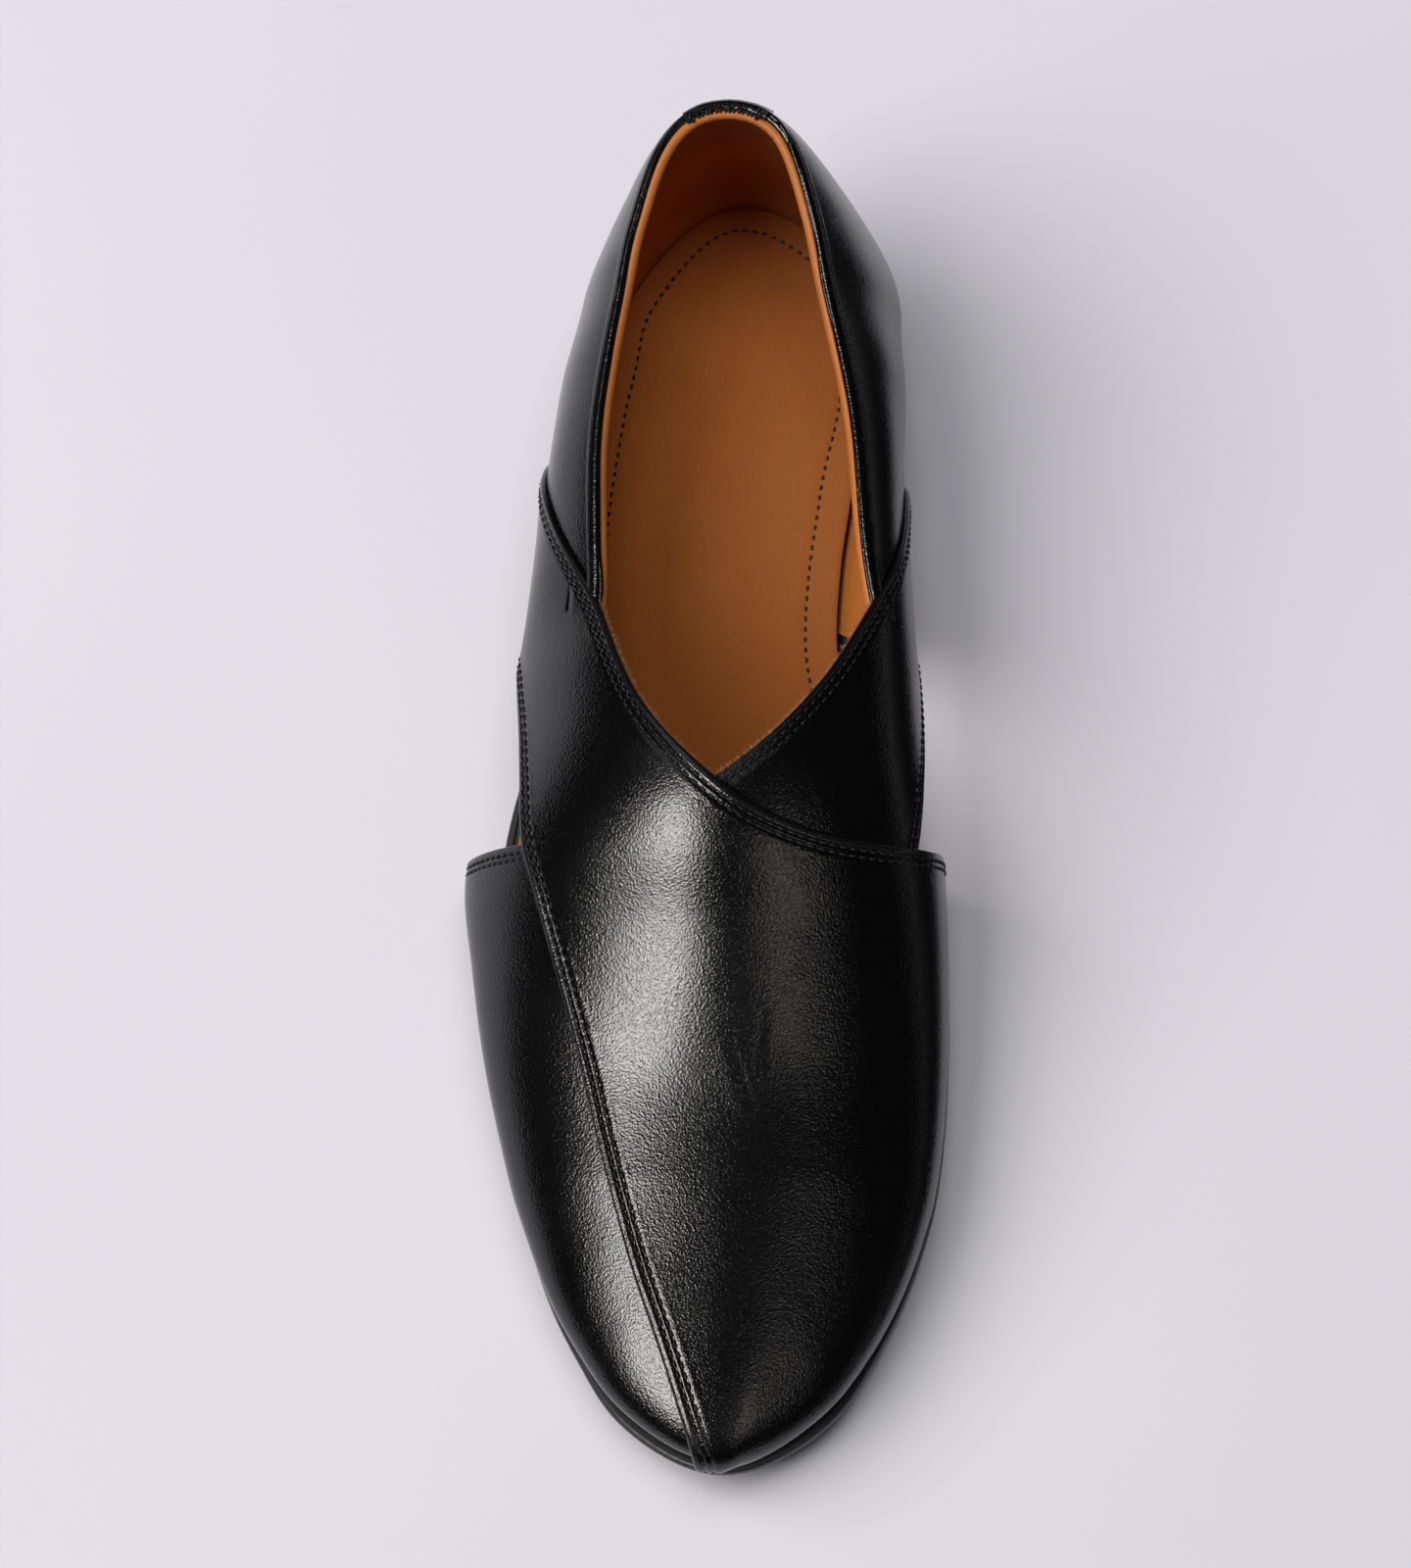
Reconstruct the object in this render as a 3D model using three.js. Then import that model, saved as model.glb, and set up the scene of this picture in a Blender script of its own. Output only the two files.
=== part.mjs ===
// A peshawari chappal, the right shoe: a closed-toe slip-on of two leather pieces that cross over the
// instep, run down each side as straps, and hold a separate quarter round the heel. Each side is cut out
// between forefoot and strap. Millimetres: toe at -Y, heel at +Y, inner (big toe) side at +X, floor at z = 0.
import * as THREE from "three";

// Driving sizes
const length = 290; // tip of the sole's toe to the back of the heel
const ballWidth = 105; // widest part of the forefoot
const heelWidth = 72; // widest part of the heel
const instepHeight = 60; // ridge over the sole's top where the two pieces cross
const collarHeight = 66.8; // top of the heel's back over the sole's top
const toeReach = 58.4; // how far the round of the toe reaches from its centre
const heelReach = 38; // the same at the heel
const lastOffset = 5.4; // centre line of the last, inside the middle of the ball
const toeSpring = 9;
const heelLift = 15; // underside of the outsole over the floor, at the heel
const outsoleThickness = 4.5;
const liftThickness = 5.4; // the heel's wearing layer
const insoleThickness = 3;
const wall = 2.2; // leather and lining of the upper
const counter = 1.2; // stiffener inside the wall round the heel
const overlap = 1.2; // a leather piece that lies on another
const toplineWidth = 3; // folded band along the collar
const toplineRise = 0.6;
const gap = 0.3; // between neighbouring pieces
const insoleGap = 0.6; // round the edge of the insole
const soleEdgeRound = 1.3;
const heelTaper = 1.2; // the heel's stack narrows downwards by this much a side
const breastBow = 3; // the heel's front face is hollow by this much
const tabHalfWidth = 12; // heel tab, each side of the back's middle, along the heel's widest line
const tabDrop = 6.5;
const tabThickness = 1.1;
const tabGap = 0.6; // between the tab's bends and the collar's flat facets
const ridgeClear = 4; // the outer side begins this far from the centre line
const footBlend = 8; // over this height the wall turns level above its foot
const seatRise = 4; // the line over the sole's top that angles round the shoe are measured from
const footGap = 0.3; // the heel's stack stays this far inside the sole's edge

// Places along the shoe, as shares of its length from toe to heel
const forefootEnd = 0.44; // the forefoot ends and the straps begin
const waistLength = 0.36; // over this much the ball's width gives way to the heel's
const throatStart = 0.5; // nothing of the collar lies before it
const breast = 0.745; // front of the heel
const counterStart = 0.72;
const counterLength = 0.16; // over this much the counter grows to its thickness
const counterDepth = 0.4; // the same below the collar, as a share of its height

// Number of ribs in the round of the toe, along each side and in the round of the heel, and rows on a rib
const toeRibs = 9;
const sideRibs = 26;
const heelRibs = 7;
const rowsBelow = 3;
const rowsAbove = 11;

const smoothstep = (x) => {
  const s = Math.min(Math.max(x, 0), 1);
  return s * s * (3 - 2 * s);
};

// A smooth curve through the rows of a table: the first column is the place, the others are named values
function curve(columns, rows) {
  const places = rows.map((row) => row[0]);
  const last = rows.length - 1;
  const slopes = {};
  columns.forEach((name, c) => {
    const value = (k) => rows[k][c + 1];
    const step = (k) => places[k + 1] - places[k];
    const rise = (k) => (value(k + 1) - value(k)) / step(k);
    const slope = places.map((_, k) => {
      if (k === 0 || k === last) return 0;
      return (rise(k - 1) * step(k) + rise(k) * step(k - 1)) / (step(k - 1) + step(k));
    });
    slope[0] = 2 * rise(0) - slope[1];
    slope[last] = 2 * rise(last - 1) - slope[last - 1];
    slopes[name] = slope;
  });
  return (place, name) => {
    const c = columns.indexOf(name) + 1;
    let k = 0;
    while (k < last - 1 && place > places[k + 1]) k++;
    const width = places[k + 1] - places[k];
    const s = Math.min(Math.max((place - places[k]) / width, -0.5), 1.5);
    const m0 = slopes[name][k] * width;
    const m1 = slopes[name][k + 1] * width;
    const y0 = rows[k][c];
    const y1 = rows[k + 1][c];
    return (
      (2 * s ** 3 - 3 * s ** 2 + 1) * y0 + (s ** 3 - 2 * s ** 2 + s) * m0 +
      (3 * s ** 2 - 2 * s ** 3) * y1 + (s ** 3 - s ** 2) * m1
    );
  };
}

// The last. Places are shares of the length from toe to heel.
// Half widths, as shares of the ball's width in front and of the heel's width behind
const widths = curve(["outer", "inner"], [
  [0.0, 0.29, 0.29],
  [0.016, 0.314, 0.314],
  [0.044, 0.352, 0.352],
  [0.08, 0.368, 0.368],
  [0.115, 0.387, 0.383],
  [0.165, 0.411, 0.404],
  [0.222, 0.453, 0.432],
  [0.294, 0.5, 0.448],
  [0.367, 0.532, 0.45],
  [0.442, 0.551, 0.441],
  [0.5, 0.511, 0.428],
  [0.56, 0.495, 0.427],
  [0.62, 0.502, 0.441],
  [0.68, 0.52, 0.471],
  [0.74, 0.543, 0.507],
  [0.8, 0.53, 0.527],
  [0.855, 0.485, 0.511],
  [0.895, 0.458, 0.508],
  [0.94, 0.412, 0.488],
  [1.0, 0.335, 0.415],
]);
// Heights over the sole's top: the widest line and the ridge as shares of the instep's height, and what the
// ridge adds as a share of the collar's height. Fullness is the section's exponent on each side.
const sections = curve(["widest", "ridge", "ridgeBehind", "outerFull", "innerFull"], [
  [0.0, 0.1, 0.275, 0, 2.0, 2.0],
  [0.1, 0.133, 0.383, 0, 1.9, 2.1],
  [0.2, 0.183, 0.517, 0, 1.8, 2.2],
  [0.3, 0.233, 0.662, 0, 1.6, 2.3],
  [0.38, 0.258, 0.812, 0, 1.45, 2.6],
  [0.44, 0.267, 0.938, 0, 1.35, 2.85],
  [0.5, 0.275, 0.987, 0, 1.3, 3.1],
  [0.57, 0.275, 0.923, 0, 1.3, 3.2],
  [0.625, 0.283, 0.7, 0.168, 1.35, 3.3],
  [0.66, 0.292, 0.52, 0.335, 1.75, 3.3],
  [0.7, 0.292, 0.3, 0.558, 2.0, 3.2],
  [0.75, 0.292, 0.1, 0.775, 2.1, 2.8],
  [0.8, 0.27, 0, 0.92, 2.0, 2.13],
  [0.86, 0.225, 0, 1.034, 1.72, 1.48],
  [0.9, 0.19, 0, 1.155, 1.55, 1.28],
  [0.93, 0.18, 0, 1.287, 1.66, 1.28],
  [0.965, 0.175, 0, 1.475, 2.0, 1.55],
  [0.99, 0.175, 0, 1.43, 1.92, 2.05],
  [1.0, 0.175, 0, 1.415, 1.85, 2.1],
]);
// How far the upper's foot lies inside the widest line, and how far the sole's edge lies outside it,
// on the outer and the inner side, in shares of the ball's width
const feet = curve(["outerTuck", "innerTuck", "outerSole", "innerSole"], [
  [0.0, 0.014, 0.014, 0.018, 0.018],
  [0.025, 0.017, 0.017, 0.022, 0.024],
  [0.1, 0.024, 0.024, 0.01, 0.01],
  [0.2, 0.034, 0.031, 0.003, 0.003],
  [0.3, 0.048, 0.031, -0.011, 0.002],
  [0.38, 0.067, 0.036, -0.03, -0.004],
  [0.44, 0.081, 0.06, -0.05, -0.038],
  [0.5, 0.045, 0.105, -0.023, -0.085],
  [0.56, 0.05, 0.15, -0.026, -0.13],
  [0.62, 0.056, 0.16, -0.04, -0.14],
  [0.68, 0.057, 0.14, -0.037, -0.118],
  [0.74, 0.056, 0.11, -0.034, -0.085],
  [0.8, 0.052, 0.078, -0.031, -0.056],
  [0.9, 0.04, 0.042, -0.028, -0.03],
  [1.0, 0.045, 0.045, -0.036, -0.036],
]);
// Underside of the outsole: shares of the toe spring and of the heel's lift
const underside = curve(["spring", "lift"], [
  [0.0, 1.0, 0],
  [0.05, 0.71, 0],
  [0.1, 0.467, 0],
  [0.16, 0.222, 0],
  [0.22, 0.067, 0],
  [0.27, 0.006, 0],
  [0.31, 0, 0],
  [0.38, 0, 0],
  [0.43, 0, 0.023],
  [0.5, 0, 0.173],
  [0.58, 0, 0.46],
  [0.66, 0, 0.707],
  [0.73, 0, 0.867],
  [0.8, 0, 0.947],
  [0.9, 0, 0.98],
  [1.0, 0, 1.0],
]);
// Collar over the sole's top, as a share of its height at the back
const collarLine = curve(["height"], [
  [0.56, 0.606],
  [0.6, 0.63],
  [0.64, 0.654],
  [0.7, 0.69],
  [0.75, 0.72],
  [0.8, 0.765],
  [0.85, 0.826],
  [0.9, 0.898],
  [0.95, 0.967],
  [0.98, 0.9925],
  [1.0, 1.0],
]);

// Edges of the leather pieces. The angle is in degrees round the shoe from the ridge, less than 0 on the
// outer side and more than 0 on the inner side; the other value is a share of the length.
// Back edge of the piece on top: down the inner side of the forefoot, over the instep, down the outer strap
const topPieceBack = curve(["place"], [
  [-100, 0.785],
  [-78, 0.758],
  [-61, 0.722],
  [-48, 0.676],
  [-35, 0.6195],
  [-21, 0.548],
  [-7, 0.4945],
  [5, 0.4625],
  [14, 0.449],
  [24, 0.4405],
  [36, 0.4375],
  [52, 0.4415],
  [70, 0.45],
  [100, 0.452],
]);
// Back edge of the inner strap, which comes out from under the top piece
const innerStrapBack = curve(["place"], [
  [-1, 0.4765],
  [9, 0.5005],
  [17, 0.526],
  [25, 0.5555],
  [38, 0.612],
  [52, 0.667],
  [66, 0.713],
  [82, 0.745],
  [100, 0.77],
]);
// Front edge of both straps, as an angle either side of the ridge
const strapFront = curve(["angle"], [
  [0.44, 49.7],
  [0.472, 51.8],
  [0.513, 56.7],
  [0.557, 65.3],
  [0.59, 74],
  [0.62, 86],
  [0.645, 102],
]);
// Seam of the top piece from strap to toe, as x from the centre line in shares of the ball's width
const seamLine = curve(["x"], [
  [0.0, -0.03],
  [0.08, -0.1025],
  [0.155, -0.175],
  [0.22, -0.227],
  [0.284, -0.272],
  [0.36, -0.333],
  [0.44, -0.397],
]);
const outerVampBack = curve(["place"], [
  [-100, 0.4515],
  [-73, 0.4492],
  [-45, 0.4435],
]);

// Thickness of the wall inside the last's surface: the counter thins out below the collar and before the heel
function wallAt(p) {
  const below = smoothstep((collarZ(p.y) - p.z) / (counterDepth * collarHeight));
  return wall + counter * below * smoothstep((place(p.y) - counterStart) / counterLength);
}

// Plan and heights of the last
const tip = -length / 2 + ballWidth * feet(0, "outerSole");
const back = length / 2;
const toeCentre = tip + toeReach;
const heelCentre = back - heelReach;
const place = (y) => y / length + 0.5;
const at = (share) => (share - 0.5) * length;

function halfWidth(side, y) {
  const t = place(y);
  const behind = smoothstep((t - forefootEnd) / waistLength);
  const share = widths(t, side < 0 ? "outer" : "inner");
  const a = Math.min(Math.max((y - tip) / toeReach, 0), 1);
  const b = Math.min(Math.max((back - y) / heelReach, 0), 1);
  const round = Math.sqrt(1 - (1 - a) ** 2) * Math.sqrt(1 - (1 - b) ** 2);
  return share * (ballWidth + (heelWidth - ballWidth) * behind) * round;
}
function soleBottom(y) {
  const t = place(y);
  return Math.max(0, toeSpring * underside(t, "spring") + heelLift * underside(t, "lift"));
}
const soleTop = (y) => soleBottom(y) + outsoleThickness;
function ridgeHeight(y) {
  const t = place(y);
  return soleTop(y) + instepHeight * sections(t, "ridge") + collarHeight * sections(t, "ridgeBehind");
}
const collarZ = (y) => soleTop(y) + collarHeight * collarLine(place(y), "height");
// Degrees round the shoe from the ridge, seen from a line just over the insole
function angleAt(p) {
  return THREE.MathUtils.radToDeg(Math.atan2(p.x - lastOffset, p.z - soleTop(p.y) - seatRise));
}

// One rib: it starts at the foot of the upper, swells to the widest line and closes over to the ridge
function makeRib(side, centreY, dx, dy) {
  let reach = halfWidth(side, centreY);
  if (dy !== 0) {
    let inside = 1;
    let outside = length;
    for (let k = 0; k < 60; k++) {
      reach = (inside + outside) / 2;
      const y = centreY + dy * reach;
      const within = y > tip && y < back && Math.abs(dx) * reach < halfWidth(side, y);
      if (within) inside = reach;
      else outside = reach;
    }
  }
  const edgeY = centreY + dy * reach;
  const t = place(edgeY);
  const outer = dy === 0 ? (side < 0 ? 1 : 0) : (1 - dx) / 2;
  const mix = (name) => sections(t, "outer" + name) * outer + sections(t, "inner" + name) * (1 - outer);
  const foot = (name) => (feet(t, "outer" + name) * outer + feet(t, "inner" + name) * (1 - outer)) * ballWidth;
  const full = mix("Full");
  const tuck = foot("Tuck");
  const base = soleTop(edgeY);
  const rise = instepHeight * sections(t, "widest");
  const point = (r, z) => new THREE.Vector3(lastOffset + dx * r, centreY + dy * r, z);
  return {
    side,
    reach,
    soleReach: reach + foot("Sole"),
    plan: (r) => point(r, 0),
    // radius at a height over the sole's top, below the widest line
    lowRadius: (h) => reach - tuck * (1 - h / rise) ** 2,
    lowSlope: (h) => (2 * tuck * (1 - h / rise)) / rise,
    below(q) {
      const p = point(reach - tuck * q * q, base + gap + (rise - gap) * (1 - q));
      if (q === 1) p.z = soleTop(p.y) + gap;
      return p;
    },
    above(a) {
      const p = point(reach * Math.cos(a), 0);
      const e = Math.sin(a) ** (2 / full);
      p.z = base + rise + (ridgeHeight(p.y) - base - rise) * e;
      return p;
    },
  };
}

// Ribs in a closed loop: toe tip, outer side, heel, inner side
function makeRibs() {
  const sideLists = [-1, 1].map((side) => {
    const list = [];
    for (let k = 0; k < toeRibs; k++) {
      const a = (Math.PI / 2) * (1 - k / toeRibs);
      list.push(makeRib(side, toeCentre, k ? side * Math.cos(a) : 0, -Math.sin(a)));
    }
    for (let k = 0; k <= sideRibs; k++) {
      list.push(makeRib(side, toeCentre + ((heelCentre - toeCentre) * k) / sideRibs, side, 0));
    }
    for (let k = 1; k <= heelRibs; k++) {
      const a = ((Math.PI / 2) * k) / heelRibs;
      list.push(makeRib(side, heelCentre, k < heelRibs ? side * Math.cos(a) : 0, Math.sin(a)));
    }
    return list;
  });
  const [outer, inner] = sideLists;
  return { outer, inner, loop: [...outer, ...inner.slice(1, -1).reverse()] };
}
const ribs = makeRibs();

// Points up one rib, evenly spaced along its arc above the widest line
function ribRow(rib) {
  const points = [];
  for (let k = 0; k < rowsBelow; k++) points.push(rib.below(1 - k / rowsBelow));
  const fine = 200;
  const arc = [0];
  const samples = [rib.above(0)];
  for (let k = 1; k <= fine; k++) {
    samples.push(rib.above((Math.PI / 2) * (k / fine) ** 2));
    arc.push(arc[k - 1] + samples[k].distanceTo(samples[k - 1]));
  }
  let k = 0;
  for (let row = 0; row < rowsAbove; row++) {
    const target = (arc[fine] * row) / rowsAbove;
    while (arc[k + 1] < target) k++;
    const s = (target - arc[k]) / (arc[k + 1] - arc[k]);
    points.push(samples[k].clone().lerp(samples[k + 1], s));
  }
  const top = samples[fine].clone();
  top.x = lastOffset;
  points.push(top);
  return points;
}

// A mesh from triangles of points; points closer than a ten-thousandth are one
function solidMesh(name, triangles, material) {
  const ids = new Map();
  const positions = [];
  const idOf = (p) => {
    const key = [p.x, p.y, p.z].map((v) => Math.round(v * 2e4)).join(" ");
    if (!ids.has(key)) {
      ids.set(key, positions.length / 3);
      positions.push(p.x, p.y, p.z);
    }
    return ids.get(key);
  };
  const index = [];
  let volume = 0;
  for (const [a, b, c] of triangles) {
    const ia = idOf(a);
    const ib = idOf(b);
    const ic = idOf(c);
    if (ia === ib || ib === ic || ia === ic) continue;
    index.push(ia, ib, ic);
    volume += a.dot(b.clone().cross(c));
  }
  if (volume < 0) index.reverse();
  const geometry = new THREE.BufferGeometry();
  geometry.setAttribute("position", new THREE.Float32BufferAttribute(positions, 3));
  geometry.setIndex(index);
  geometry.computeVertexNormals();
  const mesh = new THREE.Mesh(geometry, material);
  mesh.name = name;
  return mesh;
}

const outerLeather = new THREE.MeshStandardMaterial({ color: 0x141416, roughness: 0.38, metalness: 0 });
const insoleLeather = new THREE.MeshStandardMaterial({ color: 0xa8622c, roughness: 0.6, metalness: 0 });
const soleRubber = new THREE.MeshStandardMaterial({ color: 0x1b1b1d, roughness: 0.6, metalness: 0 });

// The surface as a net of polygons that the edges of the pieces can cut
function makeNet() {
  const grid = ribs.loop.map(ribRow);
  const count = grid.length;
  const rows = grid[0].length;
  const vertices = [];
  const ids = new Map();
  const slope = (y) => (ridgeHeight(y + 1) - ridgeHeight(y - 1)) / 2;
  const normalAt = (i, j) => {
    const p = grid[i][j];
    if (j === rows - 1) return new THREE.Vector3(0, -slope(p.y), 1).normalize();
    const along = grid[(i + 1) % count][j].clone().sub(grid[(i + count - 1) % count][j]);
    const up = grid[i][j + 1].clone().sub(grid[i][Math.max(j - 1, 0)]);
    const n = up.cross(along).normalize();
    const rib = ribs.loop[i];
    const outward = p.clone().sub(rib.plan(0));
    outward.z = Math.max(p.z - soleTop(p.y) - instepHeight * 0.3, 0);
    if (n.dot(outward) < 0) n.negate();
    n.z *= smoothstep((p.z - soleTop(p.y) - gap) / footBlend);
    return n.normalize();
  };
  const idOf = (i, j) => {
    const p = grid[i][j];
    const key = [p.x, p.y, p.z].map((v) => Math.round(v * 1e4)).join(" ");
    if (!ids.has(key)) {
      ids.set(key, vertices.length);
      vertices.push({ p, n: normalAt(i, j), foot: j === 0 });
    }
    return ids.get(key);
  };
  const polygons = [];
  for (let i = 0; i < count; i++) {
    for (let j = 0; j + 1 < rows; j++) {
      const next = (i + 1) % count;
      const corners = [idOf(i, j), idOf(next, j), idOf(next, j + 1), idOf(i, j + 1)];
      const distinct = corners.filter((v, k) => v !== corners[(k + 3) % 4]);
      if (distinct.length > 2) polygons.push(distinct);
    }
  }
  return { vertices, polygons, cuts: new Map() };
}
const edgeKey = (a, b) => (a < b ? a + " " + b : b + " " + a);

// Cuts the net along the line where a function of the point changes its sign
function cutNet(net, level, applies) {
  const values = new Map();
  const valueAt = (id) => {
    if (!values.has(id)) values.set(id, level(net.vertices[id].p) >= 0);
    return values.get(id);
  };
  const crossing = (a, b) => {
    const key = edgeKey(a, b);
    if (!net.cuts.has(key)) {
      const low = net.vertices[Math.min(a, b)];
      const high = net.vertices[Math.max(a, b)];
      const start = level(low.p) >= 0;
      let s0 = 0;
      let s1 = 1;
      for (let k = 0; k < 30; k++) {
        const middle = (s0 + s1) / 2;
        if (level(low.p.clone().lerp(high.p, middle)) >= 0 === start) s0 = middle;
        else s1 = middle;
      }
      const s = Math.min(Math.max(s0, 0.06), 0.94);
      const id = net.vertices.length;
      net.vertices.push({
        p: low.p.clone().lerp(high.p, s),
        n: low.n.clone().lerp(high.n, s).normalize(),
        foot: low.foot && high.foot,
      });
      net.cuts.set(key, id);
    }
    return net.cuts.get(key);
  };
  const result = [];
  for (const polygon of net.polygons) {
    const signs = polygon.map(valueAt);
    if (!applies(polygon.map((id) => net.vertices[id].p)) || signs.every((s) => s === signs[0])) {
      result.push(polygon);
      continue;
    }
    const halves = [[], []];
    polygon.forEach((id, k) => {
      const next = (k + 1) % polygon.length;
      halves[signs[k] ? 0 : 1].push(id);
      if (signs[k] !== signs[next]) {
        const c = crossing(id, polygon[next]);
        halves[0].push(c);
        halves[1].push(c);
      }
    });
    for (const half of halves) if (half.length > 2) result.push(half);
  }
  // a neighbour that wasn't cut takes the new corners on its sides
  net.polygons = result.map((polygon) =>
    polygon.flatMap((id, k) => {
      const next = polygon[(k + 1) % polygon.length];
      const cut = net.cuts.get(edgeKey(id, next));
      return cut === undefined ? [id] : [id, cut];
    }),
  );
}

// Closes a net of labelled polygons into one solid, with a step wherever the outer face changes height
function closeNet(net, labelOf, outerHeight, innerHeight) {
  const kept = [];
  const heights = net.vertices.map(() => new Set());
  const sides = new Map();
  const rounded = (h) => Math.round(h * 1e4) / 1e4;
  for (const polygon of net.polygons) {
    const middle = new THREE.Vector3();
    polygon.forEach((id) => middle.add(net.vertices[id].p));
    const label = labelOf(middle.multiplyScalar(1 / polygon.length));
    if (!label) continue;
    const outer = polygon.map((id) => rounded(outerHeight(label, net.vertices[id].p)));
    const inner = polygon.map((id) => rounded(innerHeight(net.vertices[id].p)));
    kept.push({ polygon, outer, inner });
    polygon.forEach((id, k) => {
      heights[id].add(outer[k]);
      heights[id].add(inner[k]);
      const next = (k + 1) % polygon.length;
      const key = edgeKey(id, polygon[next]);
      if (!sides.has(key)) sides.set(key, []);
      sides.get(key).push({ a: id, b: polygon[next], outer: [outer[k], outer[next]], inner: [inner[k], inner[next]] });
    });
  }
  const pointAt = (id, height) => {
    const { p, n, foot } = net.vertices[id];
    const q = p.clone().addScaledVector(n, height);
    if (foot) q.z = soleTop(q.y) + gap;
    return q;
  };
  const triangles = [];
  const fan = (points) => {
    for (let k = 1; k + 1 < points.length; k++) triangles.push([points[0], points[k], points[k + 1]]);
  };
  for (const { polygon, outer, inner } of kept) {
    fan(polygon.map((id, k) => pointAt(id, outer[k])));
    fan(polygon.map((id, k) => pointAt(id, inner[k])).reverse());
  }
  // a strip of wall between two heights along one side, through every height used at its ends
  const strip = (a, b, low, high) => {
    const steps = (id, from, to) =>
      [...heights[id]].filter((h) => h >= from && h <= to).sort((u, v) => u - v).map((h) => pointAt(id, h));
    const left = steps(a, low[0], high[0]);
    const right = steps(b, low[1], high[1]);
    let i = 0;
    let j = 0;
    while (i + 1 < left.length || j + 1 < right.length) {
      const climbLeft = j + 1 >= right.length || (i + 1 < left.length && i / left.length <= j / right.length);
      if (climbLeft) {
        triangles.push([left[i], left[i + 1], right[j]]);
        i++;
      } else {
        triangles.push([left[i], right[j + 1], right[j]]);
        j++;
      }
    }
  };
  for (const [first, second] of sides.values()) {
    if (!second) {
      strip(first.b, first.a, [first.inner[1], first.inner[0]], [first.outer[1], first.outer[0]]);
      continue;
    }
    const ownA = first.outer[0];
    const ownB = first.outer[1];
    const otherA = second.outer[1];
    const otherB = second.outer[0];
    if (ownA === otherA && ownB === otherB) continue;
    if (ownA + ownB > otherA + otherB) strip(first.b, first.a, [otherB, otherA], [ownB, ownA]);
    else strip(first.a, first.b, [ownA, ownB], [otherA, otherB]);
  }
  return triangles;
}

// Which leather piece a point of the upper belongs to; nothing where the shoe is open
function pieceAt(p) {
  const t = place(p.y);
  const angle = angleAt(p);
  const front = t < forefootEnd;
  const seamX = lastOffset + ballWidth * seamLine(t, "x");
  const insideSeam = front ? p.x > seamX : angle > -strapFront(t, "angle");
  if (insideSeam && t < topPieceBack(angle, "place")) return "top";
  if (angle < 0 && !insideSeam && t < outerVampBack(angle, "place")) return "vamp";
  if (angle > 0 && t < innerStrapBack(angle, "place") && (front || angle < strapFront(t, "angle"))) return "strap";
  const strapEnd = angle < 0 ? topPieceBack(angle, "place") : innerStrapBack(angle, "place");
  if (t > throatStart && t > strapEnd && p.z < collarZ(p.y)) {
    return p.z < collarZ(p.y) - toplineWidth ? "quarter" : "topline";
  }
  return "";
}

function upperSolid() {
  const net = makeNet();
  const near = (low, high) => (points) => points.every((p) => place(p.y) > low && place(p.y) < high);
  const outerSide = (p) => p.x < lastOffset - ridgeClear;
  cutNet(net, (p) => topPieceBack(angleAt(p), "place") - place(p.y), near(0.38, 0.86));
  cutNet(net, (p) => p.x - lastOffset - ballWidth * seamLine(place(p.y), "x"), near(-0.1, 0.46));
  cutNet(net, (p) => outerVampBack(angleAt(p), "place") - place(p.y), (points) =>
    near(0.38, 0.52)(points) && points.every(outerSide));
  cutNet(net, (p) => Math.abs(angleAt(p)) - strapFront(place(p.y), "angle"), near(0.41, 0.7));
  cutNet(net, (p) => innerStrapBack(angleAt(p), "place") - place(p.y), (points) =>
    near(0.42, 0.86)(points) && points.every((p) => angleAt(p) > -3));
  cutNet(net, (p) => collarZ(p.y) - p.z, near(0.54, 1.1));
  cutNet(net, (p) => collarZ(p.y) - toplineWidth - p.z, near(0.56, 1.1));
  const outerHeight = (piece, p) => {
    if (piece === "top") return overlap * (1 - 0.65 * smoothstep((angleAt(p) - 20) / 55));
    if (piece === "strap") return overlap * smoothstep((place(p.y) - 0.47) / 0.15);
    if (piece === "topline") return toplineRise;
    return 0;
  };
  return closeNet(net, pieceAt, outerHeight, (p) => -wallAt(p));
}

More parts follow.
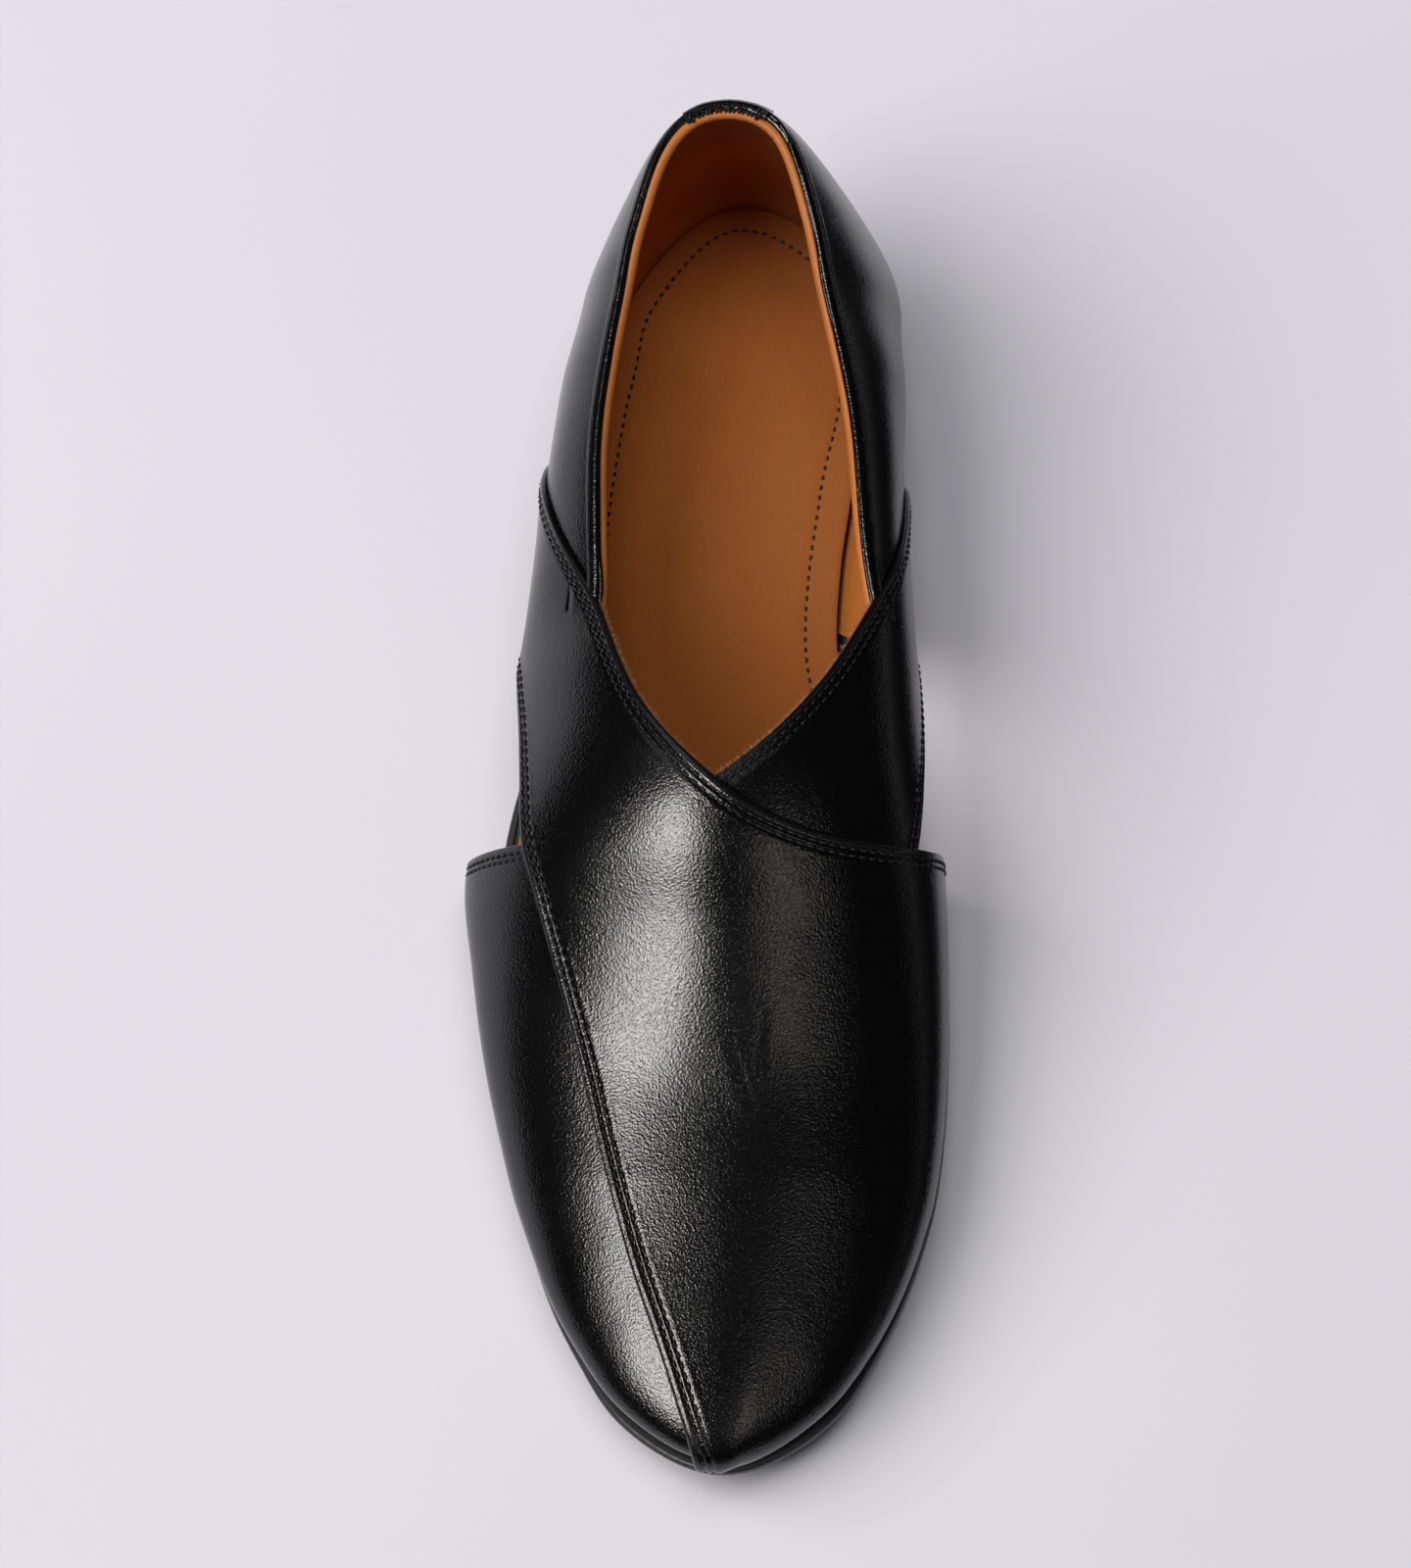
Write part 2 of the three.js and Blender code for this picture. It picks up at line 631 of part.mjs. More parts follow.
// A flat piece whose outline follows the ribs from one pair to the last; its edge is a list of levels from
// bottom to top, each with the outline's reach on a rib and its height at a place
function slab(first, levels, across, bow) {
  const pairs = ribs.outer.slice(first).map((rib, k) => [rib, ribs.inner[first + k]]);
  const layers = levels.map(({ reach, height }) =>
    pairs.map(([outer, inner], row) => {
      const a = outer.plan(reach(outer));
      const b = inner.plan(reach(inner));
      if (a.distanceTo(b) < 1e-6) return [a].map((p) => p.setZ(height(p.y)));
      const points = [];
      for (let k = 0; k <= across; k++) {
        const s = k / across;
        const p = a.clone().lerp(b, s);
        if (row === 0 && first > 0) p.y += bow * 4 * s * (1 - s);
        points.push(p.setZ(height(p.y)));
      }
      return points;
    }),
  );
  const triangles = [];
  const cap = (rows, flip) => {
    for (let r = 0; r + 1 < rows.length; r++) {
      for (let k = 0; k < across; k++) {
        const pick = (row, c) => row[Math.min(c, row.length - 1)];
        const [a, b] = [pick(rows[r], k), pick(rows[r], k + 1)];
        const [c, d] = [pick(rows[r + 1], k + 1), pick(rows[r + 1], k)];
        const faces = [[a, b, c], [a, c, d]];
        for (const face of faces) triangles.push(flip ? face.reverse() : face);
      }
    }
  };
  const loopOf = (rows) => [
    ...rows.map((row) => row[0]),
    ...rows.slice(0, -1).reverse().map((row) => row[row.length - 1]),
    ...rows[0].slice(1, -1).reverse(),
  ];
  cap(layers[0], true);
  cap(layers[layers.length - 1], false);
  for (let l = 0; l + 1 < layers.length; l++) {
    const low = loopOf(layers[l]);
    const high = loopOf(layers[l + 1]);
    low.forEach((a, k) => {
      const next = (k + 1) % low.length;
      triangles.push([a, high[next], low[next]], [a, high[k], high[next]]);
    });
  }
  return triangles;
}

function outsoleSolid() {
  const level = (inset, height) => ({ reach: (rib) => rib.soleReach - inset, height });
  const r = soleEdgeRound;
  return slab(0, [
    level(0.6 * r, soleBottom),
    level(0.1 * r, (y) => soleBottom(y) + 0.5 * r),
    level(0, (y) => soleTop(y) - r),
    level(0.3 * r, (y) => soleTop(y) - 0.3 * r),
    level(r, soleTop),
  ], 1, 0);
}

function insoleSolid() {
  const level = (over) => ({
    reach: (rib) => {
      const p = rib.plan(rib.lowRadius(over));
      p.z = soleTop(p.y) + over;
      return rib.lowRadius(over) - wallAt(p) * Math.hypot(1, rib.lowSlope(over)) - insoleGap;
    },
    height: (y) => soleTop(y) + over,
  });
  return slab(0, [level(gap), level(gap + insoleThickness)], 1, 0);
}

// The heel starts at the rib pair nearest to the breast
const breastRib = ribs.outer.findIndex((rib) => place(rib.plan(rib.reach).y) > breast);

function heelSolid() {
  const level = (inset, height) => ({ reach: (rib) => rib.soleReach - inset, height });
  return slab(breastRib, [
    level(heelTaper, () => liftThickness + gap),
    level(footGap, (y) => soleBottom(y) - gap),
  ], 4, breastBow);
}

function topLiftSolid() {
  const level = (inset, height) => ({ reach: (rib) => rib.soleReach - heelTaper - inset, height: () => height });
  return slab(breastRib, [level(0.5, 0), level(0, 0.5), level(0, liftThickness)], 4, breastBow);
}

// A folded tab over the collar at the back: its section wraps from outside over the top edge
function heelTabSolid() {
  const clear = toplineRise + tabGap;
  const section = [
    [clear, -tabDrop],
    [clear + tabThickness, -tabDrop],
    [clear + tabThickness, -0.5],
    [clear + tabThickness * 0.7, tabGap + tabThickness * 0.6],
    [clear * 0.5, tabGap + tabThickness],
    [-wall * 0.6, tabGap + tabThickness],
    [-wall * 0.95, tabGap + tabThickness * 0.5],
    [-wall * 0.95, tabGap],
    [clear, tabGap],
  ];
  const steps = 8;
  const rib = (k) => {
    const a = (tabHalfWidth / heelReach) * ((2 * k) / steps - 1);
    return makeRib(a < 0 ? -1 : 1, heelCentre, Math.sin(a), Math.cos(a));
  };
  const loops = [];
  for (let k = 0; k <= steps; k++) {
    const r = rib(k);
    const pointAtHeight = (rise) => {
      let low = 0;
      let high = Math.PI / 2;
      for (let n = 0; n < 50; n++) {
        const middle = (low + high) / 2;
        const p = r.above(middle);
        if (p.z < collarZ(p.y) + rise) low = middle;
        else high = middle;
      }
      return r.above(low);
    };
    const outward = r.plan(1).sub(r.plan(0));
    loops.push(section.map(([out, rise]) => {
      const p = pointAtHeight(rise);
      const q = pointAtHeight(rise + 0.5);
      const up = q.sub(p).normalize();
      const side = new THREE.Vector3(0, 0, 1).cross(outward).normalize();
      const n = side.cross(up).normalize();
      if (n.dot(outward) < 0) n.negate();
      return p.addScaledVector(n, out);
    }));
  }
  const triangles = [];
  for (let k = 0; k < steps; k++) {
    section.forEach((_, c) => {
      const next = (c + 1) % section.length;
      triangles.push([loops[k][c], loops[k + 1][c], loops[k + 1][next]], [loops[k][c], loops[k + 1][next], loops[k][next]]);
    });
  }
  const ends = THREE.ShapeUtils.triangulateShape(section.map(([x, y]) => new THREE.Vector2(x, y)), []);
  for (const [a, b, c] of ends) {
    triangles.push([loops[0][c], loops[0][b], loops[0][a]].reverse());
    triangles.push([loops[steps][a], loops[steps][b], loops[steps][c]].reverse());
  }
  return triangles;
}

const shoe = new THREE.Group();
shoe.add(
  solidMesh("outsole", outsoleSolid(), soleRubber),
  solidMesh("heel", heelSolid(), soleRubber),
  solidMesh("top_lift", topLiftSolid(), soleRubber),
  solidMesh("insole", insoleSolid(), insoleLeather),
  solidMesh("upper", upperSolid(), outerLeather),
  solidMesh("heel_tab", heelTabSolid(), outerLeather),
);

// The origin is the middle of the box, on the floor
const box = new THREE.Box3().setFromObject(shoe);
const middle = box.getCenter(new THREE.Vector3());
shoe.position.set(-middle.x, -middle.y, -box.min.z);

export default shoe;
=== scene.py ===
# The looks of a closed-toe peshawari chappal, the right shoe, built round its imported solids.
# Millimetres until a mesh is made: toe at -Y, heel at +Y, inner side at +X, floor at z = 0.
import math

import bmesh
import bpy
import numpy as np
from mathutils import Matrix, Vector
from mathutils.kdtree import KDTree


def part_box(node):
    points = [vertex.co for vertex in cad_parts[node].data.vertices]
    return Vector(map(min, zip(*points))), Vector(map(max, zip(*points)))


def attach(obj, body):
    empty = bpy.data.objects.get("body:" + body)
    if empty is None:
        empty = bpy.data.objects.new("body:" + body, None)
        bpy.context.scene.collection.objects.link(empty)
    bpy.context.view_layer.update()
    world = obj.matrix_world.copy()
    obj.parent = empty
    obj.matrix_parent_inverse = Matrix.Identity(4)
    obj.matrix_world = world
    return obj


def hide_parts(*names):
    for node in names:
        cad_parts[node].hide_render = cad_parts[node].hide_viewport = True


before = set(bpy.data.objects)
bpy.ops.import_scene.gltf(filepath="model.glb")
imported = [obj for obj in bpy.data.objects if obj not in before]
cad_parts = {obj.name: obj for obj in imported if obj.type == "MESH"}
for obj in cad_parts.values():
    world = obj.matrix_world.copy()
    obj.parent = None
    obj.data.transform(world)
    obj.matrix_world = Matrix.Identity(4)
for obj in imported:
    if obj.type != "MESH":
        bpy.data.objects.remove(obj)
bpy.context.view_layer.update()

MM = 0.001

# Driving sizes of the shoe, as its solids have them
LENGTH = 290
BALL_WIDTH = 105
HEEL_WIDTH = 72
INSTEP_HEIGHT = 60
COLLAR_HEIGHT = 66.8
TOE_REACH = 58.4
HEEL_REACH = 38
LAST_OFFSET = 5.4
TOE_SPRING = 9
HEEL_LIFT = 15
OUTSOLE = 4.5
TOP_LIFT = 5.4
INSOLE = 3
WALL = 2.2
COUNTER = 1.2
OVERLAP = 1.2
GAP = 0.3
INSOLE_GAP = 0.5
HEEL_TAPER = 1.2
BREAST_BOW = 3
TAB_HALF_WIDTH = 9.2
SEAT_RISE = 4
RIDGE_CLEAR = 4

# Places along the shoe, as shares of its length from toe to heel
FOREFOOT_END = 0.44
WAIST_LENGTH = 0.36
THROAT_START = 0.5
BREAST = 0.745
COUNTER_START = 0.72
COUNTER_LENGTH = 0.16
COUNTER_DEPTH = 0.4

# Leather edges and seams
LEATHER = 1.1  # thickness of the outer leather
STITCH_ROWS = (1.35, 2.75)  # distance of the two rows from a folded edge
STITCH_PITCH = 2.3
STITCH_LENGTH = 1.75
THREAD = 0.5
EDGE_STEPS = 6

# Fineness of the last's surface
TOE_RIBS = 44
SIDE_RIBS = 130
HEEL_RIBS = 36
ROWS_BELOW = 8
ROWS_ABOVE = 54


def smoothstep(x):
    s = np.clip(x, 0, 1)
    return s * s * (3 - 2 * s)


class Table:
    """A smooth curve through the rows of a table: the first column is the place, the others are named values."""

    def __init__(self, columns, rows):
        table = np.array(rows, float)
        self.places = table[:, 0]
        self.values = dict(zip(columns, table[:, 1:].T))
        self.slopes = {}
        step = np.diff(self.places)
        for name, value in self.values.items():
            rise = np.diff(value) / step
            slope = np.empty(len(value))
            slope[1:-1] = (rise[:-1] * step[1:] + rise[1:] * step[:-1]) / (step[:-1] + step[1:])
            slope[0] = 2 * rise[0] - slope[1]
            slope[-1] = 2 * rise[-1] - slope[-2]
            self.slopes[name] = slope

    def __call__(self, place, name):
        place = np.asarray(place, float)
        k = np.clip(np.searchsorted(self.places, place) - 1, 0, len(self.places) - 2)
        width = self.places[k + 1] - self.places[k]
        s = np.clip((place - self.places[k]) / width, -0.5, 1.5)
        y = self.values[name]
        m = self.slopes[name]
        start = (2 * s**3 - 3 * s**2 + 1) * y[k] + (s**3 - 2 * s**2 + s) * m[k] * width
        return start + (3 * s**2 - 2 * s**3) * y[k + 1] + (s**3 - s**2) * m[k + 1] * width


# The last. Half widths are shares of the ball's width in front and of the heel's width behind.
WIDTHS = Table(["outer", "inner"], [
    [0.0, 0.29, 0.29],
    [0.016, 0.314, 0.314],
    [0.044, 0.352, 0.352],
    [0.08, 0.368, 0.368],
    [0.115, 0.387, 0.383],
    [0.165, 0.411, 0.404],
    [0.222, 0.453, 0.432],
    [0.294, 0.5, 0.448],
    [0.367, 0.532, 0.45],
    [0.442, 0.551, 0.441],
    [0.5, 0.511, 0.428],
    [0.56, 0.495, 0.427],
    [0.62, 0.502, 0.441],
    [0.68, 0.52, 0.471],
    [0.74, 0.543, 0.507],
    [0.8, 0.53, 0.527],
    [0.855, 0.485, 0.511],
    [0.895, 0.458, 0.508],
    [0.94, 0.412, 0.488],
    [1.0, 0.335, 0.415],
])
# Heights over the sole's top: the widest line and the ridge as shares of the instep's height, and what the
# ridge adds as a share of the collar's height. Fullness is the section's exponent on each side.
SECTIONS = Table(["widest", "ridge", "ridge_behind", "outer_full", "inner_full"], [
    [0.0, 0.1, 0.275, 0, 2.0, 2.0],
    [0.1, 0.133, 0.383, 0, 1.9, 2.1],
    [0.2, 0.183, 0.517, 0, 1.8, 2.2],
    [0.3, 0.233, 0.662, 0, 1.6, 2.3],
    [0.38, 0.258, 0.812, 0, 1.45, 2.6],
    [0.44, 0.267, 0.938, 0, 1.35, 2.85],
    [0.5, 0.275, 0.987, 0, 1.3, 3.1],
    [0.57, 0.275, 0.923, 0, 1.3, 3.2],
    [0.625, 0.283, 0.7, 0.168, 1.35, 3.3],
    [0.66, 0.292, 0.52, 0.335, 1.75, 3.3],
    [0.7, 0.292, 0.3, 0.558, 2.0, 3.2],
    [0.75, 0.292, 0.1, 0.775, 2.1, 2.8],
    [0.8, 0.27, 0, 0.92, 2.0, 2.13],
    [0.86, 0.225, 0, 1.034, 1.72, 1.48],
    [0.9, 0.19, 0, 1.155, 1.55, 1.28],
    [0.93, 0.18, 0, 1.287, 1.66, 1.28],
    [0.965, 0.175, 0, 1.475, 2.0, 1.55],
    [0.99, 0.175, 0, 1.43, 1.92, 2.05],
    [1.0, 0.175, 0, 1.415, 1.85, 2.1],
])
# How far the upper's foot lies inside the widest line, and how far the sole's edge lies outside it,
# on the outer and the inner side, in shares of the ball's width
FEET = Table(["outer_tuck", "inner_tuck", "outer_sole", "inner_sole"], [
    [0.0, 0.014, 0.014, 0.018, 0.018],
    [0.025, 0.017, 0.017, 0.022, 0.024],
    [0.1, 0.024, 0.024, 0.01, 0.01],
    [0.2, 0.034, 0.031, 0.003, 0.003],
    [0.3, 0.048, 0.031, -0.011, 0.002],
    [0.38, 0.067, 0.036, -0.03, -0.004],
    [0.44, 0.081, 0.06, -0.05, -0.038],
    [0.5, 0.045, 0.105, -0.023, -0.085],
    [0.56, 0.05, 0.15, -0.026, -0.13],
    [0.62, 0.056, 0.16, -0.04, -0.14],
    [0.68, 0.057, 0.14, -0.037, -0.118],
    [0.74, 0.056, 0.11, -0.034, -0.085],
    [0.8, 0.052, 0.078, -0.031, -0.056],
    [0.9, 0.04, 0.042, -0.028, -0.03],
    [1.0, 0.045, 0.045, -0.036, -0.036],
])
# Underside of the outsole: shares of the toe spring and of the heel's lift
UNDERSIDE = Table(["spring", "lift"], [
    [0.0, 1.0, 0],
    [0.05, 0.71, 0],
    [0.1, 0.467, 0],
    [0.16, 0.222, 0],
    [0.22, 0.067, 0],
    [0.27, 0.006, 0],
    [0.31, 0, 0],
    [0.38, 0, 0],
    [0.43, 0, 0.023],
    [0.5, 0, 0.173],
    [0.58, 0, 0.46],
    [0.66, 0, 0.707],
    [0.73, 0, 0.867],
    [0.8, 0, 0.947],
    [0.9, 0, 0.98],
    [1.0, 0, 1.0],
])
# Collar over the sole's top, as a share of its height at the back
COLLAR_LINE = Table(["height"], [
    [0.56, 0.606],
    [0.6, 0.63],
    [0.64, 0.654],
    [0.7, 0.69],
    [0.75, 0.72],
    [0.8, 0.765],
    [0.85, 0.826],
    [0.9, 0.898],
    [0.95, 0.967],
    [0.98, 0.9925],
    [1.0, 1.0],
])
# Back edge of the piece on top: down the inner side of the forefoot, over the instep, down the outer strap.
# Degrees round the shoe from the ridge, less than 0 on the outer side; the place is a share of the length.
TOP_PIECE_BACK = Table(["place"], [
    [-100, 0.785],
    [-78, 0.758],
    [-61, 0.722],
    [-48, 0.676],
    [-35, 0.6195],
    [-21, 0.548],
    [-7, 0.4945],
    [5, 0.4625],
    [14, 0.449],
    [24, 0.4405],
    [36, 0.4375],
    [52, 0.4415],
    [70, 0.45],
    [100, 0.452],
])
# Back edge of the inner strap, which comes out from under the top piece
INNER_STRAP_BACK = Table(["place"], [
    [-1, 0.4765],
    [9, 0.5005],
    [17, 0.526],
    [25, 0.5555],
    [38, 0.612],
    [52, 0.667],
    [66, 0.713],
    [82, 0.745],
    [100, 0.77],
])
# Front edge of both straps, as an angle either side of the ridge
STRAP_FRONT = Table(["angle"], [
    [0.44, 49.7],
    [0.472, 51.8],
    [0.513, 56.7],
    [0.557, 65.3],
    [0.59, 74],
    [0.62, 86],
    [0.645, 102],
])
# Seam of the top piece from strap to toe, as x from the centre line in shares of the ball's width
SEAM_LINE = Table(["x"], [
    [0.0, -0.03],
    [0.08, -0.1025],
    [0.155, -0.175],
    [0.22, -0.227],
    [0.284, -0.272],
    [0.36, -0.333],
    [0.44, -0.397],
])
OUTER_VAMP_BACK = Table(["place"], [
    [-100, 0.4515],
    [-73, 0.4492],
    [-45, 0.4435],
])

TIP = -LENGTH / 2 + BALL_WIDTH * float(FEET(0, "outer_sole"))
BACK = LENGTH / 2
TOE_CENTRE = TIP + TOE_REACH
HEEL_CENTRE = BACK - HEEL_REACH


def place(y):
    return y / LENGTH + 0.5


def half_width(outer, y):
    t = place(y)
    share = np.where(outer, WIDTHS(t, "outer"), WIDTHS(t, "inner"))
    a = np.clip((y - TIP) / TOE_REACH, 0, 1)
    b = np.clip((BACK - y) / HEEL_REACH, 0, 1)
    ends = np.sqrt(1 - (1 - a) ** 2) * np.sqrt(1 - (1 - b) ** 2)
    behind = smoothstep((t - FOREFOOT_END) / WAIST_LENGTH)
    return share * (BALL_WIDTH + (HEEL_WIDTH - BALL_WIDTH) * behind) * ends


def sole_bottom(y):
    t = place(y)
    return np.maximum(0, TOE_SPRING * UNDERSIDE(t, "spring") + HEEL_LIFT * UNDERSIDE(t, "lift"))


def sole_top(y):
    return sole_bottom(y) + OUTSOLE


def ridge_height(y):
    t = place(y)
    return sole_top(y) + INSTEP_HEIGHT * SECTIONS(t, "ridge") + COLLAR_HEIGHT * SECTIONS(t, "ridge_behind")


def collar_z(y):
    return sole_top(y) + COLLAR_HEIGHT * COLLAR_LINE(place(y), "height")


def angle_at(p):
    return np.degrees(np.arctan2(p[..., 0] - LAST_OFFSET, p[..., 2] - sole_top(p[..., 1]) - SEAT_RISE))


def wall_at(p):
    below = smoothstep((collar_z(p[..., 1]) - p[..., 2]) / (COUNTER_DEPTH * COLLAR_HEIGHT))
    return WALL + COUNTER * below * smoothstep((place(p[..., 1]) - COUNTER_START) / COUNTER_LENGTH)


def unit(v):
    return v / np.maximum(np.linalg.norm(v, axis=-1, keepdims=True), 1e-12)


class Ribs:
    """Ribs of the last. Each starts at the upper's foot, swells to the widest line and closes to the ridge."""

    def __init__(self, centre, dx, dy):
        self.centre, self.dx, self.dy = centre, dx, dy
        outer = dx < 0
        fan = np.abs(dy) > 1e-9
        inside = np.full(len(dx), 1.0)
        outside = np.full(len(dx), float(LENGTH))
        for _ in range(50):
            reach = (inside + outside) / 2
            y = centre + dy * reach
            within = (y > TIP) & (y < BACK) & (np.abs(dx) * reach < half_width(outer, y))
            inside = np.where(within, reach, inside)
            outside = np.where(within, outside, reach)
        self.reach = np.where(fan, reach, half_width(outer, centre))
        self.edge_y = centre + dy * self.reach
        self.t = place(self.edge_y)
        self.outer = np.where(fan, (1 - dx) / 2, outer)
        self.full = self.mix(SECTIONS, "full")
        self.tuck = self.mix(FEET, "tuck") * BALL_WIDTH
        self.sole_reach = self.reach + self.mix(FEET, "sole") * BALL_WIDTH
        self.base = sole_top(self.edge_y)
        self.rise = INSTEP_HEIGHT * SECTIONS(self.t, "widest")

    def mix(self, table, name):
        return table(self.t, "outer_" + name) * self.outer + table(self.t, "inner_" + name) * (1 - self.outer)

    def point(self, r, z):
        return np.stack([LAST_OFFSET + self.dx * r, self.centre + self.dy * r, z + 0 * r], -1)

    def below(self, q):
        p = self.point(self.reach - self.tuck * q * q, self.base + self.rise * (1 - q))
        return p

    def above(self, a):
        p = self.point(self.reach * math.cos(a), self.base)
        e = math.sin(a) ** (2 / self.full)
        p[:, 2] = self.base + self.rise + (ridge_height(p[:, 1]) - self.base - self.rise) * e
        return p

    def low_radius(self, over):
        """Radius at a height over the sole's top, below the widest line."""
        return self.reach - self.tuck * (1 - over / self.rise) ** 2

    def low_slope(self, over):
        return 2 * self.tuck * (1 - over / self.rise) / self.rise


def rib_directions(toe, side, heel):
    """Centre and direction of the ribs of one side, from the toe's tip to the heel's back."""
    rows = []
    for k in range(toe):
        a = math.pi / 2 * (1 - k / toe)
        rows.append((TOE_CENTRE, math.cos(a) if k else 0, -math.sin(a)))
    for k in range(side + 1):
        rows.append((TOE_CENTRE + (HEEL_CENTRE - TOE_CENTRE) * k / side, 1, 0))
    for k in range(1, heel + 1):
        a = math.pi / 2 * k / heel
        rows.append((HEEL_CENTRE, math.cos(a) if k < heel else 0, math.sin(a)))
    return np.array(rows, float)


def rib_loop():
    """Ribs in a closed loop: toe tip, outer side, heel, inner side."""
    side = rib_directions(TOE_RIBS, SIDE_RIBS, HEEL_RIBS)
    outer = side * [1, -1, 1]
    loop = np.concatenate([outer, side[-2:0:-1]])
    return Ribs(loop[:, 0], loop[:, 1], loop[:, 2])


ribs = rib_loop()
SIDE_COUNT = TOE_RIBS + SIDE_RIBS + HEEL_RIBS + 1

# From the shoe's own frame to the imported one, whose origin is the middle of the whole box
sole_ring = ribs.point(ribs.sole_reach, 0)
sole_low, sole_high = [np.array(c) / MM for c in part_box("outsole")]
SHIFT = (sole_low + sole_high - sole_ring.min(0) - sole_ring.max(0)) / 2
SHIFT[2] = 0


# Meshes and materials
PAINTED_SHADE_AT = (9.0, 14.0, 27.0)  # painted shade on the insole, darkest here round the ball of the foot
DENT_SHADE_AT = (6.7, 12.0, 27.0)  # painted shade: a small dark spot on the insole's tread where a dent would lie, seen through the throat


def to_metres(points):
    return (np.asarray(points, float) + SHIFT) * MM


def make_mesh(name, points, faces, material, normals=None, sharp=math.radians(40)):
    """A mesh object from points in millimetres; without given normals, edges steeper than sharp stay crisp."""
    mesh = bpy.data.meshes.new(name)
    mesh.from_pydata([tuple(p) for p in to_metres(points)], [], [tuple(int(i) for i in f) for f in faces])
    mesh.validate()
    if normals is None:
        work = bmesh.new()
        work.from_mesh(mesh)
        bmesh.ops.remove_doubles(work, verts=work.verts, dist=1e-6)
        bmesh.ops.dissolve_degenerate(work, edges=work.edges, dist=1e-7)
        bmesh.ops.recalc_face_normals(work, faces=work.faces)
        for edge in work.edges:
            edge.smooth = len(edge.link_faces) == 2 and edge.calc_face_angle(0) < sharp
        for face in work.faces:
            face.smooth = True
        work.to_mesh(mesh)
        work.free()
    else:
        mesh.shade_smooth()
        mesh.normals_split_custom_set_from_vertices([tuple(n) for n in normals])
    mesh.materials.append(material)
    piece = bpy.data.objects.new(name, mesh)
    bpy.context.scene.collection.objects.link(piece)
    return piece


def add_values(piece, name, values):
    attribute = piece.data.attributes.new(name, "FLOAT", "POINT")
    attribute.data.foreach_set("value", np.asarray(values, np.float32))


def finish_piece(piece, slot, *replaced):
    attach(piece, "root")
    if replaced:
        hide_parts(*replaced)


class Nodes:
    """Short ways to add and link shader nodes."""

    def __init__(self, name):
        self.material = bpy.data.materials.new(name)
        self.material.use_nodes = True
        self.tree = self.material.node_tree
        self.shader = self.tree.nodes["Principled BSDF"]
        self.place = self.add("ShaderNodeTexCoord").outputs["Object"]

    def add(self, kind, inputs=(), **settings):
        node = self.tree.nodes.new(kind)
        for key, value in settings.items():
            setattr(node, key, value)
        for key, value in dict(inputs).items():
            self.put(node.inputs[key], value)
        return node

    def put(self, socket, value):
        if isinstance(value, bpy.types.NodeSocket):
            self.tree.links.new(value, socket)
        else:
            socket.default_value = value

    def set(self, **values):
        for key, value in values.items():
            self.put(self.shader.inputs[key.replace("_", " ")], value)

    def math(self, operation, a, b=0.0):
        node = self.add("ShaderNodeMath", operation=operation)
        self.put(node.inputs[0], a)
        self.put(node.inputs[1], b)
        return node.outputs[0]

    def stretch(self, scale):
        return self.add("ShaderNodeMapping", {"Vector": self.place, "Scale": scale}).outputs[0]

    def noise(self, scale, detail=2.0, rough=0.5, where=None):
        inputs = {"Vector": where or self.place, "Scale": scale, "Detail": detail, "Roughness": rough}
        return self.add("ShaderNodeTexNoise", inputs).outputs["Fac"]

    def cells(self, scale, feature="F1", where=None):
        inputs = {"Vector": where or self.place, "Scale": scale}
        return self.add("ShaderNodeTexVoronoi", inputs, feature=feature).outputs["Distance"]

    def map(self, value, low, high, to_low=0.0, to_high=1.0):
        inputs = {"Value": value, "From Min": low, "From Max": high, "To Min": to_low, "To Max": to_high}
        return self.add("ShaderNodeMapRange", inputs).outputs["Result"]

    def mix(self, factor, a, b, blend="MIX"):
        node = self.add("ShaderNodeMix", data_type="RGBA", blend_type=blend)
        self.put(node.inputs["Factor"], factor)
        self.put(node.inputs["A"], a if not isinstance(a, tuple) else (*a, 1))
        self.put(node.inputs["B"], b if not isinstance(b, tuple) else (*b, 1))
        return node.outputs["Result"]

    def value(self, name):
        return self.add("ShaderNodeAttribute", attribute_name=name).outputs["Fac"]

    def bump(self, height, distance, strength=1.0, normal=None):
        inputs = {"Height": height, "Distance": distance, "Strength": strength}
        if normal is not None:
            inputs["Normal"] = normal
        return self.add("ShaderNodeBump", inputs).outputs["Normal"]


def black_leather():
    """Polished black calf: a fine pebbled grain, faint clouds in the gloss, edges a little lighter, partly rubbed
    wear and partly a painted highlight.
    """
    m = Nodes("black_leather")
    wide = m.noise(34, 4, 0.55)
    grain = m.math("ADD", m.cells(2200, "SMOOTH_F1"), m.math("MULTIPLY", m.noise(1900, 3, 0.65), 0.7))
    normal = m.bump(grain, 0.000078, 0.85)
    normal = m.bump(wide, 0.0008, 0.12, normal)
    tone = m.mix(m.map(wide, 0.35, 0.7), (0.0014, 0.0013, 0.0015), (0.0023, 0.0021, 0.0024))
    # lighter along the folded edges: rubbed wear and a painted highlight on each edge's bead
    tone = m.mix(m.value("rubbed_and_highlight"), tone, (0.012, 0.011, 0.012))
    m.set(Base_Color=tone, Normal=normal, Roughness=m.map(wide, 0.3, 0.7, 0.16, 0.2))
    m.set(Specular_IOR_Level=0.5, Coat_Weight=0.06, Coat_Roughness=0.15)
    return m.material


